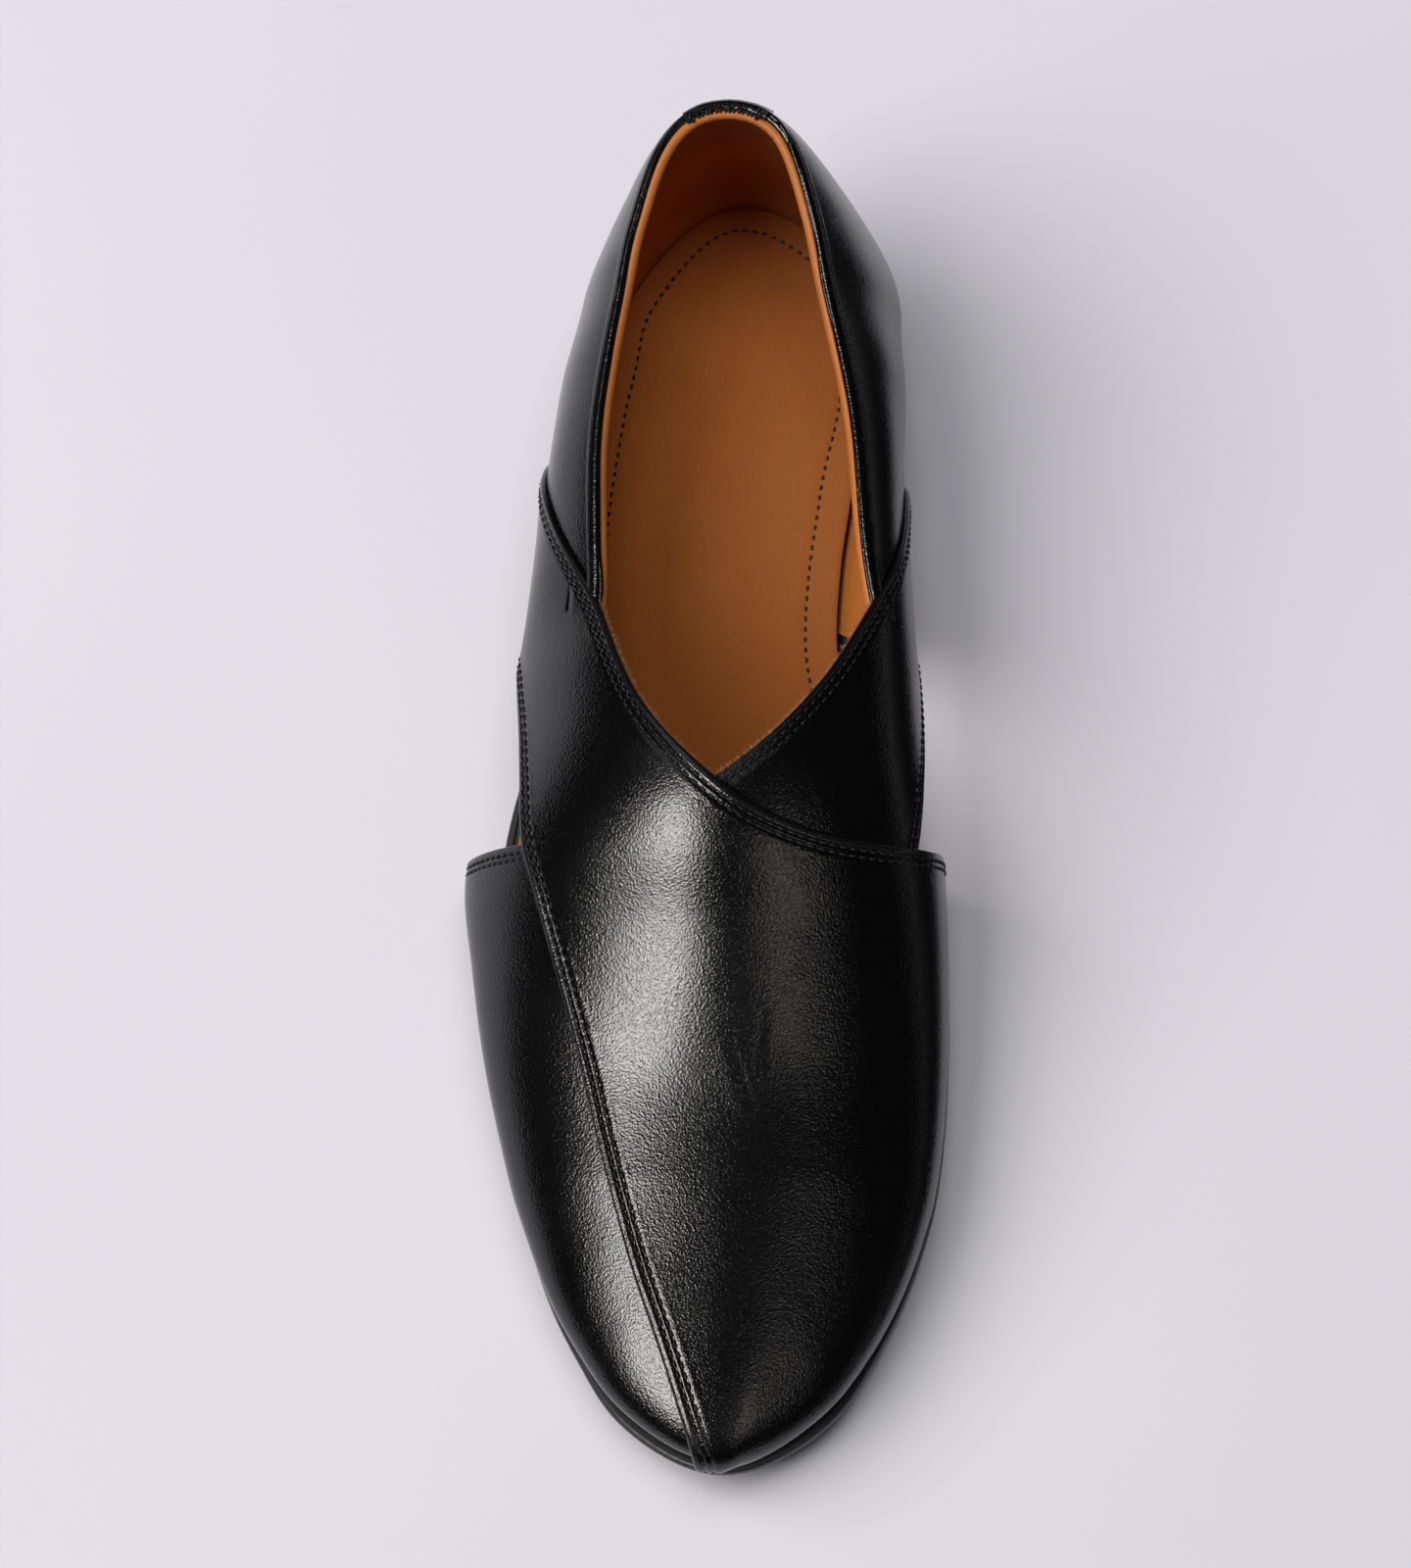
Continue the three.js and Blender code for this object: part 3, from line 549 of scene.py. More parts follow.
def tan_leather(name, dark, light, rough, gloss):
    """Tan leather with fibres and faint stains; the insole also gets painted shade round the ball of the foot and a
    small spot of painted shade at a dent.
    """
    m = Nodes(name)
    blotches = m.noise(28, 4, 0.6)
    fibres = m.noise(1400, 3, 0.6, m.stretch((1, 0.35, 1)))
    tone = m.mix(m.map(blotches, 0.3, 0.72), dark, light)
    tone = m.mix(m.map(fibres, 0.35, 0.75, 0, 0.2), tone, tuple(0.5 * c for c in dark))
    if name == "tan_insole":
        # painted shade: a small dark spot standing in for the shade of a dent in the tread
        from_dent_shade = m.add("ShaderNodeVectorMath", {0: m.place, 1: to_metres(DENT_SHADE_AT)}, operation="DISTANCE")
        dent = m.map(from_dent_shade.outputs["Value"], 0.0008, 0.0026, 0.5, 0)
        tone = m.mix(dent, tone, tuple(0.45 * c for c in dark))
        # painted shade: the insole darkened in a wide patch round the ball of the foot
        from_painted_shade = m.add("ShaderNodeVectorMath", {0: m.place, 1: to_metres(PAINTED_SHADE_AT)}, operation="DISTANCE")
        painted_shade = m.map(from_painted_shade.outputs["Value"], 0.02, 0.1, 0.75, 0)
        tone = m.mix(painted_shade, tone, tuple(0.45 * c for c in dark))
    normal = m.bump(m.math("ADD", fibres, m.math("MULTIPLY", m.cells(900), 0.4)), 0.00012, 0.4)
    m.set(Base_Color=tone, Normal=normal, Roughness=m.map(blotches, 0.2, 0.8, rough, rough + 0.16))
    m.set(Specular_IOR_Level=gloss)
    return m.material


def thread_material(name, colour):
    m = Nodes(name)
    twist = m.add("ShaderNodeTexWave", {"Vector": m.place, "Scale": 900, "Distortion": 1.0}).outputs["Fac"]
    tone = m.mix(m.noise(600), tuple(0.7 * c for c in colour), tuple(1.3 * c for c in colour))
    m.set(Base_Color=tone, Roughness=0.5, Normal=m.bump(twist, 0.0001, 0.4))
    return m.material


def sole_material(name, colour, rough, streaks):
    """Dull black rubber, or stained and burnished stacked leather when streaks run along it."""
    m = Nodes(name)
    grain = m.noise(800, 4, 0.6, m.stretch((0.25, 0.25, 2.5)) if streaks else None)
    clouds = m.noise(40, 3)
    tone = m.mix(m.map(clouds, 0.3, 0.7), tuple(0.8 * c for c in colour), tuple(1.35 * c for c in colour))
    m.set(Base_Color=tone, Roughness=m.map(grain, 0.3, 0.7, rough - 0.06, rough + 0.08))
    m.set(Normal=m.bump(grain, 0.00015, 0.35))
    return m.material


def floor_material():
    m = Nodes("floor")
    tone = m.mix(m.map(m.noise(2.5, 3), 0.3, 0.7), (0.70, 0.69, 0.735), (0.74, 0.73, 0.77))
    m.set(Base_Color=tone, Roughness=0.55, Specular_IOR_Level=0.3)
    return m.material


BLACK = black_leather()
LINING = tan_leather("tan_lining", (0.42, 0.125, 0.022), (0.55, 0.18, 0.036), 0.4, 0.4)
SOCK = tan_leather("tan_insole", (0.42, 0.13, 0.026), (0.5, 0.165, 0.034), 0.56, 0.18)
THREAD_BLACK = thread_material("black_thread", (0.007, 0.0065, 0.007))
THREAD_BROWN = thread_material("brown_thread", (0.026, 0.011, 0.007))
FIBRE = thread_material("leather_fibre", (0.34, 0.16, 0.07))
RUBBER = sole_material("sole_rubber", (0.018, 0.018, 0.02), 0.42, False)
STACK = sole_material("heel_stack", (0.016, 0.015, 0.015), 0.36, True)


# The last's surface as a net of polygons that the edges of the pieces cut
class Net:
    def __init__(self, points, normals, foot, polygons):
        self.points, self.normals, self.foot = points, normals, foot
        self.polygons = polygons

    def copy(self, polygons):
        """The part of the net that some polygons use, with its own numbering."""
        used = sorted({i for f in polygons for i in f})
        new = {old: k for k, old in enumerate(used)}
        index = np.array(used)
        renumbered = [[new[i] for i in f] for f in polygons]
        return Net(self.points[index], self.normals[index], self.foot[index], renumbered)

    def cut(self, values, level=None, allowed=None):
        """Cuts the polygons where values at the points change their sign; returns the new edges."""
        signs = values >= 0
        crossing = {}
        split = set()
        for f, polygon in enumerate(self.polygons):
            inside = [signs[i] for i in polygon]
            if all(inside) or not any(inside) or (allowed is not None and not allowed[polygon].all()):
                continue
            split.add(f)
            for k, a in enumerate(polygon):
                b = polygon[k - 1]
                if signs[a] != signs[b]:
                    crossing[(min(a, b), max(a, b))] = -1
        if not crossing:
            return []
        pairs = np.array(list(crossing))
        low, high = self.points[pairs[:, 0]], self.points[pairs[:, 1]]
        start, end = values[pairs[:, 0]], values[pairs[:, 1]]
        share = start / (start - end)
        if level is not None:
            s0, s1 = np.zeros(len(pairs)), np.ones(len(pairs))
            first = signs[pairs[:, 0]]
            for _ in range(14):
                middle = (s0 + s1) / 2
                same = (level(low + (high - low) * middle[:, None]) >= 0) == first
                s0, s1 = np.where(same, middle, s0), np.where(same, s1, middle)
            share = s0
        share = np.clip(share, 0.02, 0.98)[:, None]
        n0, n1 = self.normals[pairs[:, 0]], self.normals[pairs[:, 1]]
        step = high - low
        bulge = (np.sum(step * n0, 1) - np.sum(step * n1, 1))[:, None] / 2
        n = unit(n0 + (n1 - n0) * share)
        p = low + step * share + n * bulge * share * (1 - share)
        for k, pair in enumerate(crossing):
            crossing[pair] = len(self.points) + k
        self.points = np.concatenate([self.points, p])
        self.normals = np.concatenate([self.normals, n])
        self.foot = np.concatenate([self.foot, self.foot[pairs[:, 0]] & self.foot[pairs[:, 1]]])
        result, new_edges = [], []
        for f, polygon in enumerate(self.polygons):
            if f not in split:
                result.append(self.with_corners(polygon, crossing))
                continue
            halves = {True: [], False: []}
            cuts = []
            for k, a in enumerate(polygon):
                b = polygon[(k + 1) % len(polygon)]
                halves[bool(signs[a])].append(a)
                if signs[a] != signs[b]:
                    c = crossing[(min(a, b), max(a, b))]
                    halves[True].append(c)
                    halves[False].append(c)
                    cuts.append(c)
            result += [half for half in halves.values() if len(half) > 2]
            if len(cuts) == 2:
                new_edges.append(tuple(cuts))
        self.polygons = result
        return new_edges

    @staticmethod
    def with_corners(polygon, crossing):
        """The polygon with new corners where its neighbours were cut."""
        corners = []
        for k, a in enumerate(polygon):
            b = polygon[(k + 1) % len(polygon)]
            corners.append(a)
            c = crossing.get((min(a, b), max(a, b)))
            if c is not None:
                corners.append(c)
        return corners


def chain(edges):
    """Edges put end to end as lists of points; a closed one repeats its first."""
    links = {}
    for a, b in edges:
        links.setdefault(a, []).append(b)
        links.setdefault(b, []).append(a)
    chains, seen = [], set()
    for start in sorted(links, key=lambda i: len(links[i])):
        if start in seen:
            continue
        line = [start]
        seen.add(start)
        while True:
            onward = [i for i in links[line[-1]] if i not in seen]
            if not onward:
                break
            line.append(onward[0])
            seen.add(onward[0])
        if len(line) > 2 and line[0] in links[line[-1]]:
            line.append(line[0])
        chains.append(line)
    return sorted(chains, key=len, reverse=True)


def surface_grid():
    """Points over the last: one column for each rib, evenly spaced along its arc above the widest line."""
    columns = [ribs.below(1 - k / ROWS_BELOW) for k in range(ROWS_BELOW)]
    fine = 400
    samples = np.stack([ribs.above(math.pi / 2 * (k / fine) ** 2) for k in range(fine + 1)], 1)
    steps = np.linalg.norm(np.diff(samples, axis=1), axis=2)
    arc = np.concatenate([np.zeros((len(steps), 1)), np.cumsum(steps, 1)], 1)
    rows = np.empty((len(arc), ROWS_ABOVE + 1, 3))
    for i, lengths in enumerate(arc):
        targets = np.linspace(0, lengths[-1], ROWS_ABOVE + 1)
        for axis in range(3):
            rows[i, :, axis] = np.interp(targets, lengths, samples[i, :, axis])
    rows[:, -1, 0] = LAST_OFFSET
    return np.concatenate([np.stack(columns, 1), rows], 1)


def area_normals(points, polygons):
    """Normals at the points, each face counting by its area."""
    quads = np.array([f if len(f) == 4 else [*f, f[-1]] for f in polygons])
    a, b, c, d = (points[quads[:, k]] for k in range(4))
    face = np.cross(c - a, d - b)
    normals = np.zeros_like(points)
    for k in range(4):
        np.add.at(normals, quads[:, k], face)
    return unit(normals)


def last_net():
    """The whole surface of the last, smoothed, with the foot of the upper as its border."""
    grid = surface_grid()
    count, rows = grid.shape[:2]
    flat = grid.reshape(-1, 3)
    _, first, ids = np.unique(np.round(flat, 4), axis=0, return_index=True, return_inverse=True)
    ids = ids.reshape(count, rows)
    points = flat[first].copy()
    foot = np.zeros(len(points), bool)
    foot[ids[:, 0]] = True
    polygons = []
    for i in range(count):
        after = (i + 1) % count
        for j in range(rows - 1):
            corners = [ids[i, j], ids[after, j], ids[after, j + 1], ids[i, j + 1]]
            distinct = [v for k, v in enumerate(corners) if v != corners[k - 1]]
            if len(distinct) > 2:
                polygons.append([int(v) for v in distinct])
    normals = area_normals(points, polygons)
    outward = points - [LAST_OFFSET, 0, 0]
    outward[:, 1] = 0
    if np.sum(normals * outward) < 0:
        polygons = [f[::-1] for f in polygons]
        normals = -normals
    pairs = {(min(a, b), max(a, b)) for f in polygons for a, b in zip(f, f[1:] + f[:1])}
    pairs = np.array(sorted(pairs))
    weight = np.bincount(pairs.ravel(), minlength=len(points))[:, None]
    for k in range(24):
        total = np.zeros_like(points)
        np.add.at(total, pairs[:, 0], points[pairs[:, 1]])
        np.add.at(total, pairs[:, 1], points[pairs[:, 0]])
        move = np.sum((total / weight - points) * normals, 1, keepdims=True) * normals
        move[foot] = 0
        points = points + move * (0.5 if k % 2 == 0 else -0.46)
        if k % 4 == 3:
            normals = area_normals(points, polygons)
    normals = area_normals(points, polygons)
    low = smoothstep((points[:, 2] - sole_top(points[:, 1])) / 6)
    normals[:, 2] *= low
    return Net(points, unit(normals), foot, polygons)


def labels(p):
    """Which leather piece the points belong to; empty where the shoe is open."""
    t = place(p[:, 1])
    angle = angle_at(p)
    front = t < FOREFOOT_END
    seam_x = LAST_OFFSET + BALL_WIDTH * SEAM_LINE(t, "x")
    strap_front = STRAP_FRONT(t, "angle")
    inside_seam = np.where(front, p[:, 0] > seam_x, angle > -strap_front)
    top_back = TOP_PIECE_BACK(angle, "place")
    strap_back = INNER_STRAP_BACK(angle, "place")
    result = np.full(len(p), "", dtype=object)
    strap_end = np.where(angle < 0, top_back, strap_back)
    quarter = (t > THROAT_START) & (t > strap_end) & (p[:, 2] < collar_z(p[:, 1]))
    result[quarter] = "quarter"
    result[(angle > 0) & (t < strap_back) & (front | (angle < strap_front))] = "strap"
    result[(angle < 0) & ~inside_seam & (t < OUTER_VAMP_BACK(angle, "place"))] = "vamp"
    result[inside_seam & (t < top_back)] = "top"
    return result


def cut_pieces(net):
    """Cuts the net along every edge; returns the line of the collar as points and normals."""
    def near(low, high):
        t = place(net.points[:, 1])
        return (t > low) & (t < high)

    def slice_at(level, allowed):
        return net.cut(level(net.points), level, allowed)

    slice_at(lambda p: TOP_PIECE_BACK(angle_at(p), "place") - place(p[:, 1]), near(0.38, 0.86))
    slice_at(lambda p: p[:, 0] - LAST_OFFSET - BALL_WIDTH * SEAM_LINE(place(p[:, 1]), "x"), near(-0.1, 0.455))
    outer = (net.points[:, 0] < LAST_OFFSET - RIDGE_CLEAR) & near(0.38, 0.52)
    slice_at(lambda p: OUTER_VAMP_BACK(angle_at(p), "place") - place(p[:, 1]), outer)
    slice_at(lambda p: np.abs(angle_at(p)) - STRAP_FRONT(place(p[:, 1]), "angle"), near(0.43, 0.7))
    inner = (angle_at(net.points) > -3) & near(0.42, 0.86)
    slice_at(lambda p: INNER_STRAP_BACK(angle_at(p), "place") - place(p[:, 1]), inner)
    edges = slice_at(lambda p: collar_z(p[:, 1]) - p[:, 2], near(0.54, 1.1))
    line = chain(edges)[0]
    if line[0] == line[-1]:
        line = line[:-1]
    return net.points[line], net.normals[line]


def middle_of(net):
    return np.array([net.points[f].mean(0) for f in net.polygons])


# Relief across a folded edge with two rows of stitches: height by distance from the edge
EDGE_RELIEF = Table(["height"], [
    [0.0, 0.0],
    [0.5, 0.1],
    [1.0, -0.02],
    [STITCH_ROWS[0], -0.2],
    [1.75, -0.06],
    [2.05, 0.0],
    [2.4, -0.06],
    [STITCH_ROWS[1], -0.18],
    [3.15, -0.05],
    [3.6, 0.0],
    [4.4, 0.0],
])
RELIEF_CUTS = (0.25, 0.5, 0.8, 1.05, STITCH_ROWS[0], 1.6, 2.05, 2.45, STITCH_ROWS[1], 3.1, 3.6, 4.4)
NO_EDGE = 50.0


def distance_to(lines, points):
    """Distance to the nearest of some polylines and the direction away from it."""
    samples = []
    for a, b in lines:
        steps = max(2, int(np.linalg.norm(b - a) / 0.15) + 1)
        samples += [a + (b - a) * k / steps for k in range(steps + 1)]
    tree = KDTree(len(samples))
    for k, p in enumerate(samples):
        tree.insert(p, k)
    tree.balance()
    found = [tree.find(p) for p in points]
    distance = np.array([d for _, _, d in found])
    away = points - np.array([tuple(q) for q, _, _ in found])
    return distance, unit(away)


def border(net):
    """Directed edges that only one polygon has."""
    edges = {}
    for polygon in net.polygons:
        for a, b in zip(polygon, polygon[1:] + polygon[:1]):
            edges[(a, b)] = True
    return [(a, b) for a, b in edges if (b, a) not in edges]


def slope_of(height, points, normals):
    """How a height over the surface tilts its normal."""
    step = 0.25
    side = unit(np.cross(normals, [0.0, 0.35, 0.94]))
    up = np.cross(side, normals)
    tilt = np.zeros_like(points)
    for direction in (side, up):
        rise = (height(points + step * direction) - height(points - step * direction)) / (2 * step)
        tilt += rise[:, None] * direction
    return tilt


def close_shell(name, net, outer, inner, outer_normals, material, bulge, values=None, inset=0.0):
    """A solid sheet between two heights over the net, with a round edge; the foot's edge stays plain."""
    n = net.normals
    count = len(net.points)
    top = net.points + n * outer[:, None]
    low = net.points + n * inner[:, None]
    for layer in (top, low):
        layer[net.foot, 2] = sole_top(layer[net.foot, 1]) - 0.4
    edges = border(net)
    tangent = np.zeros_like(n)
    for a, b in edges:
        if not (net.foot[a] and net.foot[b]):
            step = unit(net.points[b] - net.points[a])
            tangent[a] += step
            tangent[b] += step
    out = unit(np.cross(tangent, n)) * (np.linalg.norm(tangent, axis=1) > 1e-6)[:, None]
    rim = sorted({i for edge in edges for i in edge})
    for layer in (top, low):
        layer[rim] -= inset * out[rim]
    ring = {}
    start = 2 * count
    rings_p, rings_n = [], []
    for k in range(1, EDGE_STEPS):
        a = math.pi / 2 - math.pi * k / EDGE_STEPS
        middle = (top[rim] + low[rim]) / 2
        half = (top[rim] - low[rim]) / 2
        reach = np.linalg.norm(half, axis=1, keepdims=True) * bulge
        rings_p.append(middle + half * math.sin(a) + out[rim] * reach * math.cos(a))
        rings_n.append(unit(n[rim] * math.sin(a) + out[rim] * math.cos(a)))
        for r, i in enumerate(rim):
            ring[(i, k)] = start + (k - 1) * len(rim) + r
    for i in rim:
        ring[(i, 0)] = i
        ring[(i, EDGE_STEPS)] = count + i
    points = np.concatenate([top, low, *rings_p])
    normals = np.concatenate([outer_normals, -n, *rings_n])
    faces = [list(f) for f in net.polygons] + [[count + i for i in reversed(f)] for f in net.polygons]
    for a, b in edges:
        for k in range(EDGE_STEPS):
            faces.append([ring[(b, k)], ring[(a, k)], ring[(a, k + 1)], ring[(b, k + 1)]])
    piece = make_mesh(name, points, faces, material, normals)
    if values is not None:
        extra = np.concatenate([values, np.zeros(count), *[values[rim]] * (EDGE_STEPS - 1)])
        add_values(piece, "rubbed_and_highlight", extra)
    return piece


LAP_RISE = 0.9  # the top piece stands this proud where it laps over the outer vamp, before the ball
TOE_LAP_RISE = 0.7
LAP_FADE = 14.0
CREST = 1.1  # and is drawn up this much along the instep's middle
CREST_HALF_WIDTH = 15.0


def piece_height(label, p):
    t = place(p[:, 1])
    if label == "top":
        from_seam = np.maximum(p[:, 0] - LAST_OFFSET - BALL_WIDTH * SEAM_LINE(np.minimum(t, FOREFOOT_END), "x"), 0)
        lap = LAP_RISE * smoothstep((0.36 - t) / 0.12) + TOE_LAP_RISE * smoothstep((0.22 - t) / 0.12)
        lap = lap * np.exp(-from_seam / LAP_FADE)
        along = smoothstep((t - 0.25) / 0.1) * (1 - smoothstep((t - 0.46) / 0.06))
        crest = CREST * along * np.exp(-(((p[:, 0] - LAST_OFFSET) / CREST_HALF_WIDTH) ** 2))
        return OVERLAP * (1 - 0.65 * smoothstep((angle_at(p) - 20) / 55)) + lap + crest
    if label == "strap":
        return OVERLAP * smoothstep((t - 0.47) / 0.15)
    return np.zeros(len(p))


# Creases given one by one: their ends on the last, their half width and their height, less than 0 for a trough
CREASES = {
    "top": [
        ((-26.3, 40.2, 52.0), (-27.3, 34.6, 50.0), 0.5, -0.35),
        ((-25.2, 39.2, 52.4), (-26.0, 33.8, 51.0), 0.9, 0.1),
        ((14.4, -52.0, 45.7), (13.2, -67.7, 40.7), 0.9, -0.05),
        ((16.4, -53.0, 45.0), (15.0, -66.0, 40.9), 1.8, 0.05),
        ((8.0, -57.5, 44.1), (11.9, -70.1, 40.2), 0.8, -0.06),
        ((5.8, -60.0, 43.6), (9.4, -70.8, 40.4), 1.8, 0.05),
    ],
    "strap": [
        ((39.1, 37.1, 54.4), (40.4, 31.6, 52.3), 0.6, -0.22),
        ((38.0, 35.6, 55.0), (39.2, 30.6, 53.2), 0.9, 0.08),
    ],
    "vamp": [],
    "quarter": [
        ((-42.0, 62.0, 30.0), (-38.0, 74.0, 46.0), 6.0, -0.15),
        ((42.0, 70.0, 34.0), (40.0, 82.0, 50.0), 6.0, -0.15),
    ],
}
CREASE_CUTS = (0.35, 0.8, 1.4, 2.2)  # levels round a narrow crease, in half widths
NARROW_CREASE = 2.0


def along_segment(p, a, b):
    """Distance of points from a segment."""
    a, b = np.array(a), np.array(b)
    share = np.clip((p - a) @ (b - a) / ((b - a) @ (b - a)), 0, 1)
    return np.linalg.norm(p - a - share[:, None] * (b - a), axis=1)


def crease_height(label, p):
    total = np.zeros(len(p))
    for a, b, width, height in CREASES[label]:
        total += height * np.exp(-((along_segment(p, a, b) / width) ** 2))
    return total


# Edges of each piece that are folded and stitched: what lies on their other side
FOLDED = {"top": ("", "vamp", "strap", "quarter"), "vamp": ("",), "strap": ("", "quarter"), "quarter": ()}
NAMES = {"top": "top_piece", "vamp": "outer_vamp", "strap": "inner_strap", "quarter": "quarter"}


RAGGED_FROM = 42  # the throat's edges over this height show raw fibres
FIBRES_PER_MM = 9


def is_throat(p):
    """Whether a point of an edge lies on the V of the throat."""
    angle = angle_at(p)
    back = TOP_PIECE_BACK(angle, "place") if angle < 0 else INNER_STRAP_BACK(angle, "place")
    return abs(place(p[1]) - back) < 0.004 and -52 < angle < 56


def leather_piece(net, polygon_labels, label):
    """One piece of outer leather; returns its rows of stitches and the edges with raw fibres."""
    owners = {}
    for polygon, owner in zip(net.polygons, polygon_labels):
        for a, b in zip(polygon, polygon[1:] + polygon[:1]):
            owners[(a, b)] = owner
    own = [f for f, owner in zip(net.polygons, polygon_labels) if owner == label]
    folded = []
    for polygon in own:
        for a, b in zip(polygon, polygon[1:] + polygon[:1]):
            other = owners.get((b, a))
            if other is not None and other != label and other in FOLDED[label]:
                folded.append((net.points[a], net.points[b]))
    part = net.copy(own)
    for a, b, width, _ in CREASES[label]:
        for level in CREASE_CUTS if width < NARROW_CREASE else ():
            part.cut(along_segment(part.points, a, b) - level * width)
    rows = []
    if folded:
        for level in RELIEF_CUTS:
            distance, _ = distance_to(folded, part.points)
            edges = part.cut(distance - level)
            if level in STITCH_ROWS:
                rows += [part.points[line] for line in chain(edges) if len(line) > 3]
        distance, away = distance_to(folded, part.points)
    else:
        distance, away = np.full(len(part.points), NO_EDGE), np.zeros_like(part.points)

    def height(p):
        return piece_height(label, p) + crease_height(label, p)

    near = distance < RELIEF_CUTS[-1]
    relief = np.where(near, EDGE_RELIEF(distance, "height"), 0)
    step = 0.02
    rise = EDGE_RELIEF(distance + step, "height") - EDGE_RELIEF(np.maximum(distance - step, 0), "height")
    slope = np.where(near & (distance > 0.01), rise / (2 * step), 0)[:, None] * away
    n = part.normals
    outer = height(part.points) + relief
    normals = unit(n - slope - slope_of(height, part.points, n))
    inner = np.minimum(height(part.points) - LEATHER, -0.2)
    # rubbed wear and a painted highlight: a lighter tone along the bead of each folded edge
    rubbed_and_highlight = np.where(near, 0.8 * np.exp(-(((distance - 0.45) / 0.4) ** 2)), 0)
    piece = close_shell(NAMES[label], part, outer, inner, normals, BLACK, 0.8, rubbed_and_highlight)
    finish_piece(piece, "upper_leather", "upper")
    ragged = [(a, b) for a, b in folded if a[2] > RAGGED_FROM and label != "vamp" and is_throat(a)]
    return [(row, label) for row in rows], ragged


LINING_INSET = 0.55  # the lining ends this far inside the leather's edge


def lining_piece(net, polygon_labels):
    """The tan lining of the whole upper, with the heel's counter behind it."""
    part = net.copy([f for f, owner in zip(net.polygons, polygon_labels) if owner])
    count = len(part.points)
    outer = np.full(count, -LEATHER * 0.55)
    inner = -wall_at(part.points)
    piece = close_shell("upper_lining", part, outer, inner, part.normals, LINING, 0.5, inset=LINING_INSET)
    finish_piece(piece, "lining_leather", "upper")
    return piece


def resample(line, step, smooth=0, closed=False):
    """Points evenly spaced along a polyline."""
    line = np.asarray(line, float)
    for _ in range(smooth):
        line[1:-1] = (line[:-2] + 2 * line[1:-1] + line[2:]) / 4
    lengths = np.concatenate([[0], np.cumsum(np.linalg.norm(np.diff(line, axis=0), axis=1))])
    count = max(2, int(round(lengths[-1] / step)) + 1)
    targets = np.linspace(0, lengths[-1], count)
    return np.stack([np.interp(targets, lengths, line[:, k]) for k in range(3)], 1)


class Surface:
    """Finds the normal of the last nearest to a point."""

    def __init__(self, net):
        self.points, self.normals = net.points, net.normals
        self.tree = KDTree(len(self.points))
        for k, p in enumerate(self.points):
            self.tree.insert(p, k)
        self.tree.balance()

    def normals_at(self, points):
        result = []
        for p in points:
            found = self.tree.find_n(p, 5)
            weights = np.array([1 / (d + 0.05) for _, _, d in found])
            n = sum(w * self.normals[k] for w, (_, k, _) in zip(weights, found))
            result.append(n)
        return unit(np.array(result))


def capsules(name, centres, along, up, length, radius, material, slot, sink=0.35):
    """Many short round stitches in one mesh, each bowed up in its middle."""
    rings, sides = 7, 8
    template, faces = [], []
    for i in range(rings + 1):
        s = i / rings
        width = radius * math.sqrt(max(0.0, 1 - (2 * s - 1) ** 4)) + 0.02
        for k in range(sides):
            a = 2 * math.pi * k / sides
            bow = math.sin(math.pi * s) * radius * 0.9 - sink
            template.append(((s - 0.5) * length, width * math.cos(a), 0.8 * width * math.sin(a) + bow))
    for i in range(rings):
        for k in range(sides):
            after = (k + 1) % sides
            faces.append((i * sides + k, i * sides + after, (i + 1) * sides + after, (i + 1) * sides + k))
    faces.append(tuple(reversed(range(sides))))
    faces.append(tuple(rings * sides + k for k in range(sides)))
    template = np.array(template)
    across = unit(np.cross(up, along))
    along = np.cross(across, up)
    points = (centres[:, None] + template[None, :, :1] * along[:, None]
              + template[None, :, 1:2] * across[:, None] + template[None, :, 2:] * up[:, None])
    all_faces = [tuple(i + n * len(template) for i in f) for n in range(len(centres)) for f in faces]
    piece = make_mesh(name, points.reshape(-1, 3), all_faces, material, sharp=math.pi)
    finish_piece(piece, slot)
    return piece


def stitch_rows(surface, rows):
    """Places of the stitches of all rows: centre, direction along the row, and up."""
    centres, along, up = [], [], []
    for line, label in rows:
        path = resample(line, STITCH_PITCH, smooth=3)
        middle = (path[:-1] + path[1:]) / 2
        n = surface.normals_at(middle)
        lift = piece_height(label, middle) + EDGE_RELIEF(STITCH_ROWS[0], "height") + 0.12
        centres.append(middle + n * lift[:, None])
        along.append(unit(np.diff(path, axis=0)))
        up.append(n)
    return np.concatenate(centres), np.concatenate(along), np.concatenate(up)


def sweep(name, path, outward, up, profile, material, taper=0):
    """A closed section swept along a path; the section's axes are outward and up."""
    count, size = len(path), len(profile)
    points = []
    for k in range(count):
        scale = 1.0
        if taper:
            scale = min(1.0, math.sqrt(min(k, count - 1 - k) / taper + 0.02))
        for a, b in profile:
            points.append(path[k] + outward[k] * a * scale + up[k] * b * scale)
    faces = []
    for k in range(count - 1):
        for c in range(size):
            after = (c + 1) % size
            faces.append((k * size + c, k * size + after, (k + 1) * size + after, (k + 1) * size + c))
    faces.append(tuple(reversed(range(size))))
    faces.append(tuple((count - 1) * size + c for c in range(size)))
    return make_mesh(name, points, faces, material, sharp=math.radians(60))


def round_section(corners, steps):
    """A smooth closed section through its corners."""
    corners = np.array(corners, float)
    count = len(corners)
    result = []
    for k in range(count):
        p0, p1, p2, p3 = (corners[(k + j) % count] for j in (-1, 0, 1, 2))
        for s in np.arange(steps) / steps:
            result.append(0.5 * (2 * p1 + (p2 - p0) * s + (2 * p0 - 5 * p1 + 4 * p2 - p3) * s**2
                                 + (3 * p1 - p0 - 3 * p2 + p3) * s**3))
    return result


# Section of the black band along the collar, outward and up from the collar's line on the last
BAND = [(-0.6, -2.9), (0.1, -3.0), (0.5, -2.75), (0.72, -2.1), (0.75, -1.2), (0.6, -0.35), (0.2, 0.18),
        (-0.35, 0.34), (-0.9, 0.2), (-1.15, -0.2), (-1.15, -1.5)]
